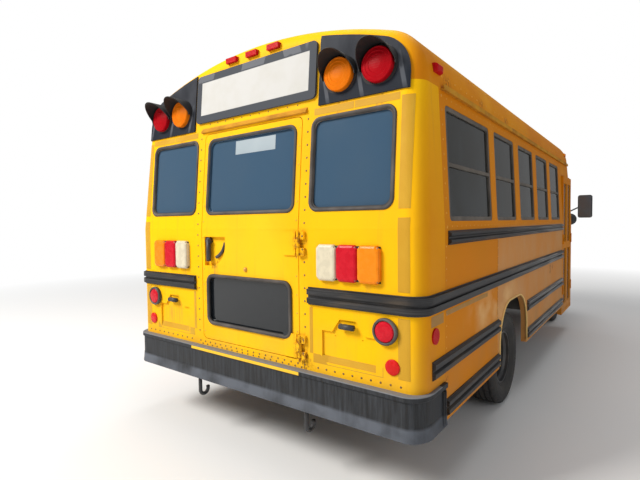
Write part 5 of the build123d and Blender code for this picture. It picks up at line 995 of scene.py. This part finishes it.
def add_bumper():
    """Pressed rear bumper: lip on top, recessed flat, flared foot, wrapped round both corners."""
    back, half, end, bend = -0.045, 1.239, 0.275, 0.185
    middle_x, middle_y = 0.095, 1.124
    across, along = half - middle_y, middle_x - back
    corner = []
    for cos, sin in arc((0.0, 0.0), 1.0, 0, 90, 12):
        normal = Vector((-sin * across, -cos * along, 0)).normalized()
        corner.append((middle_x - along * sin, -middle_y - across * cos, normal.x, normal.y))
    # Plan as (ahead, y, outward normal's X and Y), from the right end round to the left one.
    plan = [(end, -half, 0.0, -1.0), (bend, -half, 0.0, -1.0)] + corner
    plan += [(back, y, -1.0, 0.0) for y in steps(-1.0, 1.0, 0.2)]
    plan += [(x, -y, nx, -ny) for x, y, nx, ny in reversed(corner)]
    plan += [(bend, half, 0.0, 1.0), (end, half, 0.0, 1.0)]
    # Section as (out of the plan's line, height).
    section = [(-0.046, 0.634), (-0.004, 0.634), (-0.001, 0.632), (0.0, 0.628), (0.0, 0.609),
               (-0.003, 0.605), (-0.01, 0.602), (-0.01, 0.482), (-0.008, 0.474), (-0.001, 0.405),
               (-0.004, 0.4), (-0.012, 0.4), (-0.02, 0.478), (-0.02, 0.612), (-0.046, 0.618)]
    heap = Heap()
    heap.loft([[(x_at(x + nx * out), y + ny * out, z) for out, z in section] for x, y, nx, ny in plan])
    for side, ahead in product(BOTH, (0.215, 0.24)):
        heap.brick((x_at(ahead), x_at(ahead + 0.009)), mirrored(side, half - 0.012, half + 0.004),
                   (0.412, 0.6), 0.002, (Y, side))
    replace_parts(heap.make("rear_bumper_pressing", BUMPER, "black_trim"), "rear_bumper")


def add_hooks():
    """Open tow hooks under the frame ends, each on a bolted pad."""
    heap = Heap()
    ahead, ring, height, pad_z = 0.03, 0.034, 0.298, 0.552
    for side in BOTH:
        y = side * 0.49
        bend = arc((x_at(ahead), height), ring, 180, 381.6, 14)
        heap.tube([(x_at(ahead - ring), y, pad_z - 0.01)] + [(x, y, z) for x, z in bend], 0.013, 14)
        heap.brick((x_at(-0.02), x_at(0.1)), mirrored(side, 0.4, 0.51), (pad_z - 0.024, pad_z), 0.004,
                   (Z, -1))
    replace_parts(heap.make("open_tow_hooks", TRIM, "black_trim", True), "tow_hooks")


def roof_edge(y, margin):
    """Height of a line that runs one margin inside the roof's outline at a distance from the middle."""
    crown, shoulder = CROWN_RADIUS - margin, SHOULDER_RADIUS - margin
    meet = crown * SHOULDER_Y / (CROWN_RADIUS - SHOULDER_RADIUS)
    if abs(y) <= meet:
        return ROOF_TOP - CROWN_RADIUS + math.sqrt(crown * crown - y * y)
    return SHOULDER_Z + math.sqrt(max(0.0, shoulder * shoulder - (abs(y) - SHOULDER_Y) ** 2))


def add_panels():
    """Lamp panels at the four upper corners, their outer edge along the roof's curve."""
    margin, foot = 0.057, 2.163
    reach = SHOULDER_RADIUS - margin
    across = steps(0.562, SHOULDER_Y, 0.03)
    across += [SHOULDER_Y + reach * math.sin(math.radians(a)) for a in range(10, 91, 8)]
    heap = Heap()
    for probe, side in product((rear_hit, front_hit), BOTH):
        heap.sheet([[probe(ROOF, side * y, foot + (roof_edge(y, margin) - foot) * share) for y in across]
                    for share in steps(0.0, 1.0, 0.06)], 0.01, 0.004)
    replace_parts(heap.make("lamp_panel_sheets", PANEL, "black_trim"), "lamp_panels")


def add_warning_lamps():
    """Warning lamps with flanges, stepped lenses and slanted half-round visors."""
    height, radius, hood, skin, sides = 2.306, 0.092, 0.105, 0.004, 56
    visors = Heap()
    lenses = {"amber": Heap(), "red": Heap()}
    flange = [(hood + skin, -0.028), (hood + skin, 0.007), (radius + 0.001, 0.009), (radius + 0.001, -0.028)]
    profile = [(radius, -0.02), (radius, 0.026), (0.089, 0.034), (0.084, 0.036), (0.082, 0.034),
               (0.066, 0.038), (0.064, 0.036), (0.046, 0.04), (0.044, 0.038), (0.026, 0.041), (0.003, 0.042)]
    places = ((0.71, "amber"), (0.954, "red"))
    for (probe, way), side, (y, colour) in product(((rear_hit, -1.0), (front_hit, 1.0)), BOTH, places):
        base = probe(ROOF, side * y, height)[0].x + way * 0.01
        middle = (base, side * y, height)
        visors.turned([(r, way * a) for r, a in flange], middle, sides)
        stations = []
        for cos, sin in arc((0.0, 0.0), 1.0, -8, 188, 32):
            reach = 0.032 + 0.108 * max(0.0, sin)
            stations.append([(base + way * along, side * y + r * cos, height + r * sin) for r, along in
                             ((hood, -0.02), (hood + skin, -0.02), (hood + skin, reach), (hood, reach))])
        visors.loft(stations)
        lenses[colour].turned([(r, way * a) for r, a in profile], middle, sides)
    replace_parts(visors.make("warning_visors", VISOR, "lamp"), "warning_lamps")
    lenses["amber"].make("warning_lens_amber", WARNING_AMBER, "lamp")
    lenses["red"].make("warning_lens_red", WARNING_RED, "lamp")


def add_markers():
    """Marker lamps on the roof at the plain solids' places, the rear side ones close behind the seam."""
    heap = Heap()
    solid = NODES["marker_lamps"]
    spots = [solid.matrix_world @ v.co for v in solid.data.vertices]
    kept = [i for i, spot in enumerate(spots) if abs(spot.x - x_at(0.4)) > 0.1 or abs(spot.y) < 1.0]
    index = {old: new for new, old in enumerate(kept)}
    heap.add([spots[i] for i in kept],
             [[index[i] for i in p.vertices] for p in solid.data.polygons if p.vertices[0] in index])
    for side in BOTH:
        heap.brick((x_at(0.226), x_at(0.31)), mirrored(side, 1.165, 1.204), (2.27, 2.316), 0.01, (Y, side))
    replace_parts(heap.make("marker_lenses", MARKER, "marker"), "marker_lamps")


def add_mouldings():
    """Roof gutters from the rear seam forward and the low moulding over the emergency door."""
    heap = Heap()
    gutter = [(1.16, 2.198), (1.204, 2.196), (1.204, 2.224), (1.2, 2.224), (1.199, 2.203), (1.16, 2.212)]
    for side in BOTH:
        heap.loft([[(x, side * y, z) for y, z in gutter] for x in (x_at(0.315), x_at(4.67))])
    wall = rear_hit(ROOF, 0.47, 2.15)[0].x
    moulding = [(0.02, 2.136), (-0.013, 2.137), (-0.017, 2.141), (-0.017, 2.151), (-0.009, 2.157),
                (-0.002, 2.169), (0.02, 2.171)]
    heap.loft([[(wall + x, y, z) for x, z in moulding] for y in (-0.477, 0.477)])
    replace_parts(heap.make("gutter_mouldings", DRIP, "body_paint"), "drip_rails")


def add_latch():
    """Upright latch handle, its curved guide and the rounded corner of the pocket."""
    heap, corner = Heap(), Heap()
    y, z, floor = 0.375, 1.378, 0.0255
    heap.tube([(x_at(floor), y, z), (x_at(-0.006), y, z)], 0.022, 18)
    heap.tube([(x_at(0.003), y, z + 0.01), (x_at(0.003), y, 1.3), (x_at(0.002), y, 1.235)], 0.0165, 14)
    guide = arc((y - 0.015, z + 0.022), 0.145, 194, 250, 14)
    heap.tube([(x_at(floor - 0.006), py, pz) for py, pz in guide], 0.012, 10)
    made = heap.make("door_latch", TRIM, "black_trim", True, "emergency_door_body")
    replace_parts(made, "emergency_door_handle")
    face = rear_hit(DOOR, 0.19, 1.19)[0].x
    outline = [(0.1995, 1.2035)] + arc((0.35, 1.354), 0.15, 180, 270, 15)
    corner.loft([[(x, py, pz) for py, pz in outline] for x in (face, x_at(0.026))])
    corner.make("pocket_corner", PAINT_DOOR, "body_paint", False, "emergency_door_body")


# Light, floor and camera
def stage_material(name, grey):
    """Pale floor that keeps the shadow and turns to the background's white far away."""
    white_from, white_at = 4.5, 11.0
    look = Look(name, (grey, grey, grey), 0.9, shine=0.0)
    darker = grey * 0.97
    look.mottle((darker, darker, darker), 0.3, 0.7, 0.3, 0.6, 2.0)
    material = look.done()
    square = look.math("ADD", look.times(look.axes[X], look.axes[X]), look.times(look.axes[Y], look.axes[Y]))
    far = look.ramp(look.math("SQRT", square), white_from, white_at)
    path = look.node("LightPath")
    seen = look.math("MAXIMUM", path["Is Camera Ray"], path["Is Transmission Ray"])
    glow = look.node("Emission")[0]
    mix = look.node("MixShader", {0: look.times(far, seen), 1: look.bsdf.outputs[0], 2: glow})[0]
    wire(look.tree, mix, look.tree.nodes["Material Output"].inputs["Surface"])
    return material


def add_stage():
    """Wide floor under the bus."""
    half = 60
    piece("studio_floor", [(-half, -half, 0), (half, -half, 0), (half, half, 0), (-half, half, 0)],
                   [[0, 1, 2, 3]], stage_material("studio_floor", 0.8), "bus")


def lamp(name, place, target, size, energy, colour=(1.0, 1.0, 1.0)):
    """Soft square lamp aimed at a point."""
    data = bpy.data.lights.new(name, "AREA")
    data.shape = "SQUARE"
    data.size = size
    data.energy = energy
    data.color = colour
    made = bpy.data.objects.new(name, data)
    made.location = place
    made.rotation_euler = (Vector(target) - Vector(place)).to_track_quat("-Z", "Y").to_euler()
    show(made)


def add_light():
    """Warm key from behind on the left, cool fill from the right, top lamp and a white world."""
    lamp("key", (-10.5, 5.5, 9.2), (-2.4, 0.0, 1.3), 4.5, 1950.0, (1.0, 0.97, 0.92))
    lamp("fill", (-5.0, -11.0, 5.0), (-0.5, 0.0, 1.0), 8.0, 240.0, (0.92, 0.96, 1.0))
    lamp("top", (1.0, 0.0, 11.0), (0.0, 0.0, 0.0), 8.0, 420.0)
    lit, seen_level = 0.28, 1.0
    world = bpy.data.worlds.new("studio")
    bpy.context.scene.world = world
    world.use_nodes = True
    tree = world.node_tree
    path = node(tree, "LightPath")
    rays = {0: path["Is Camera Ray"], 1: path["Is Transmission Ray"]}
    seen = node(tree, "Math", rays, operation="MAXIMUM")[0]
    level = node(tree, "MapRange", {"Value": seen, "To Min": lit, "To Max": seen_level})["Result"]
    background = tree.nodes["Background"].inputs
    wire(tree, level, background["Strength"])
    background["Color"].default_value = (1.0, 1.0, 1.0, 1.0)


def add_camera():
    """Camera at the photo's place, fitted to the body's corners."""
    yaw, pitch, roll = (math.radians(a) for a in (36.9503, -2.2874, -0.6852))
    place = (-4.9592, -2.0936, 1.4958)
    focal_pixels, picture_width, sensor = 440.369, 640.0, 36.0
    look = Vector((math.cos(yaw) * math.cos(pitch), math.sin(yaw) * math.cos(pitch), math.sin(pitch)))
    right = Vector((math.sin(yaw), -math.cos(yaw), 0.0))
    up = right.cross(look)
    turned_right = right * math.cos(roll) + up * math.sin(roll)
    turned_up = up * math.cos(roll) - right * math.sin(roll)
    data = bpy.data.cameras.new("photo_view")
    data.sensor_width = sensor
    data.lens = focal_pixels / picture_width * sensor
    data.clip_end = 200.0
    camera = bpy.data.objects.new("photo_view", data)
    basis = Matrix((turned_right, turned_up, -look)).transposed().to_4x4()
    camera.matrix_world = Matrix.Translation(place) @ basis
    show(camera)
    bpy.context.scene.camera = camera


for build in (add_rivets, add_tape, add_tail_lamps, add_tyres, add_seats, add_trim, add_beads, add_sill,
              add_bumper, add_hooks, add_panels, add_warning_lamps, add_markers, add_mouldings, add_latch,
              add_stage, add_light, add_camera):
    build()
bpy.context.scene.view_settings.view_transform = "Standard"
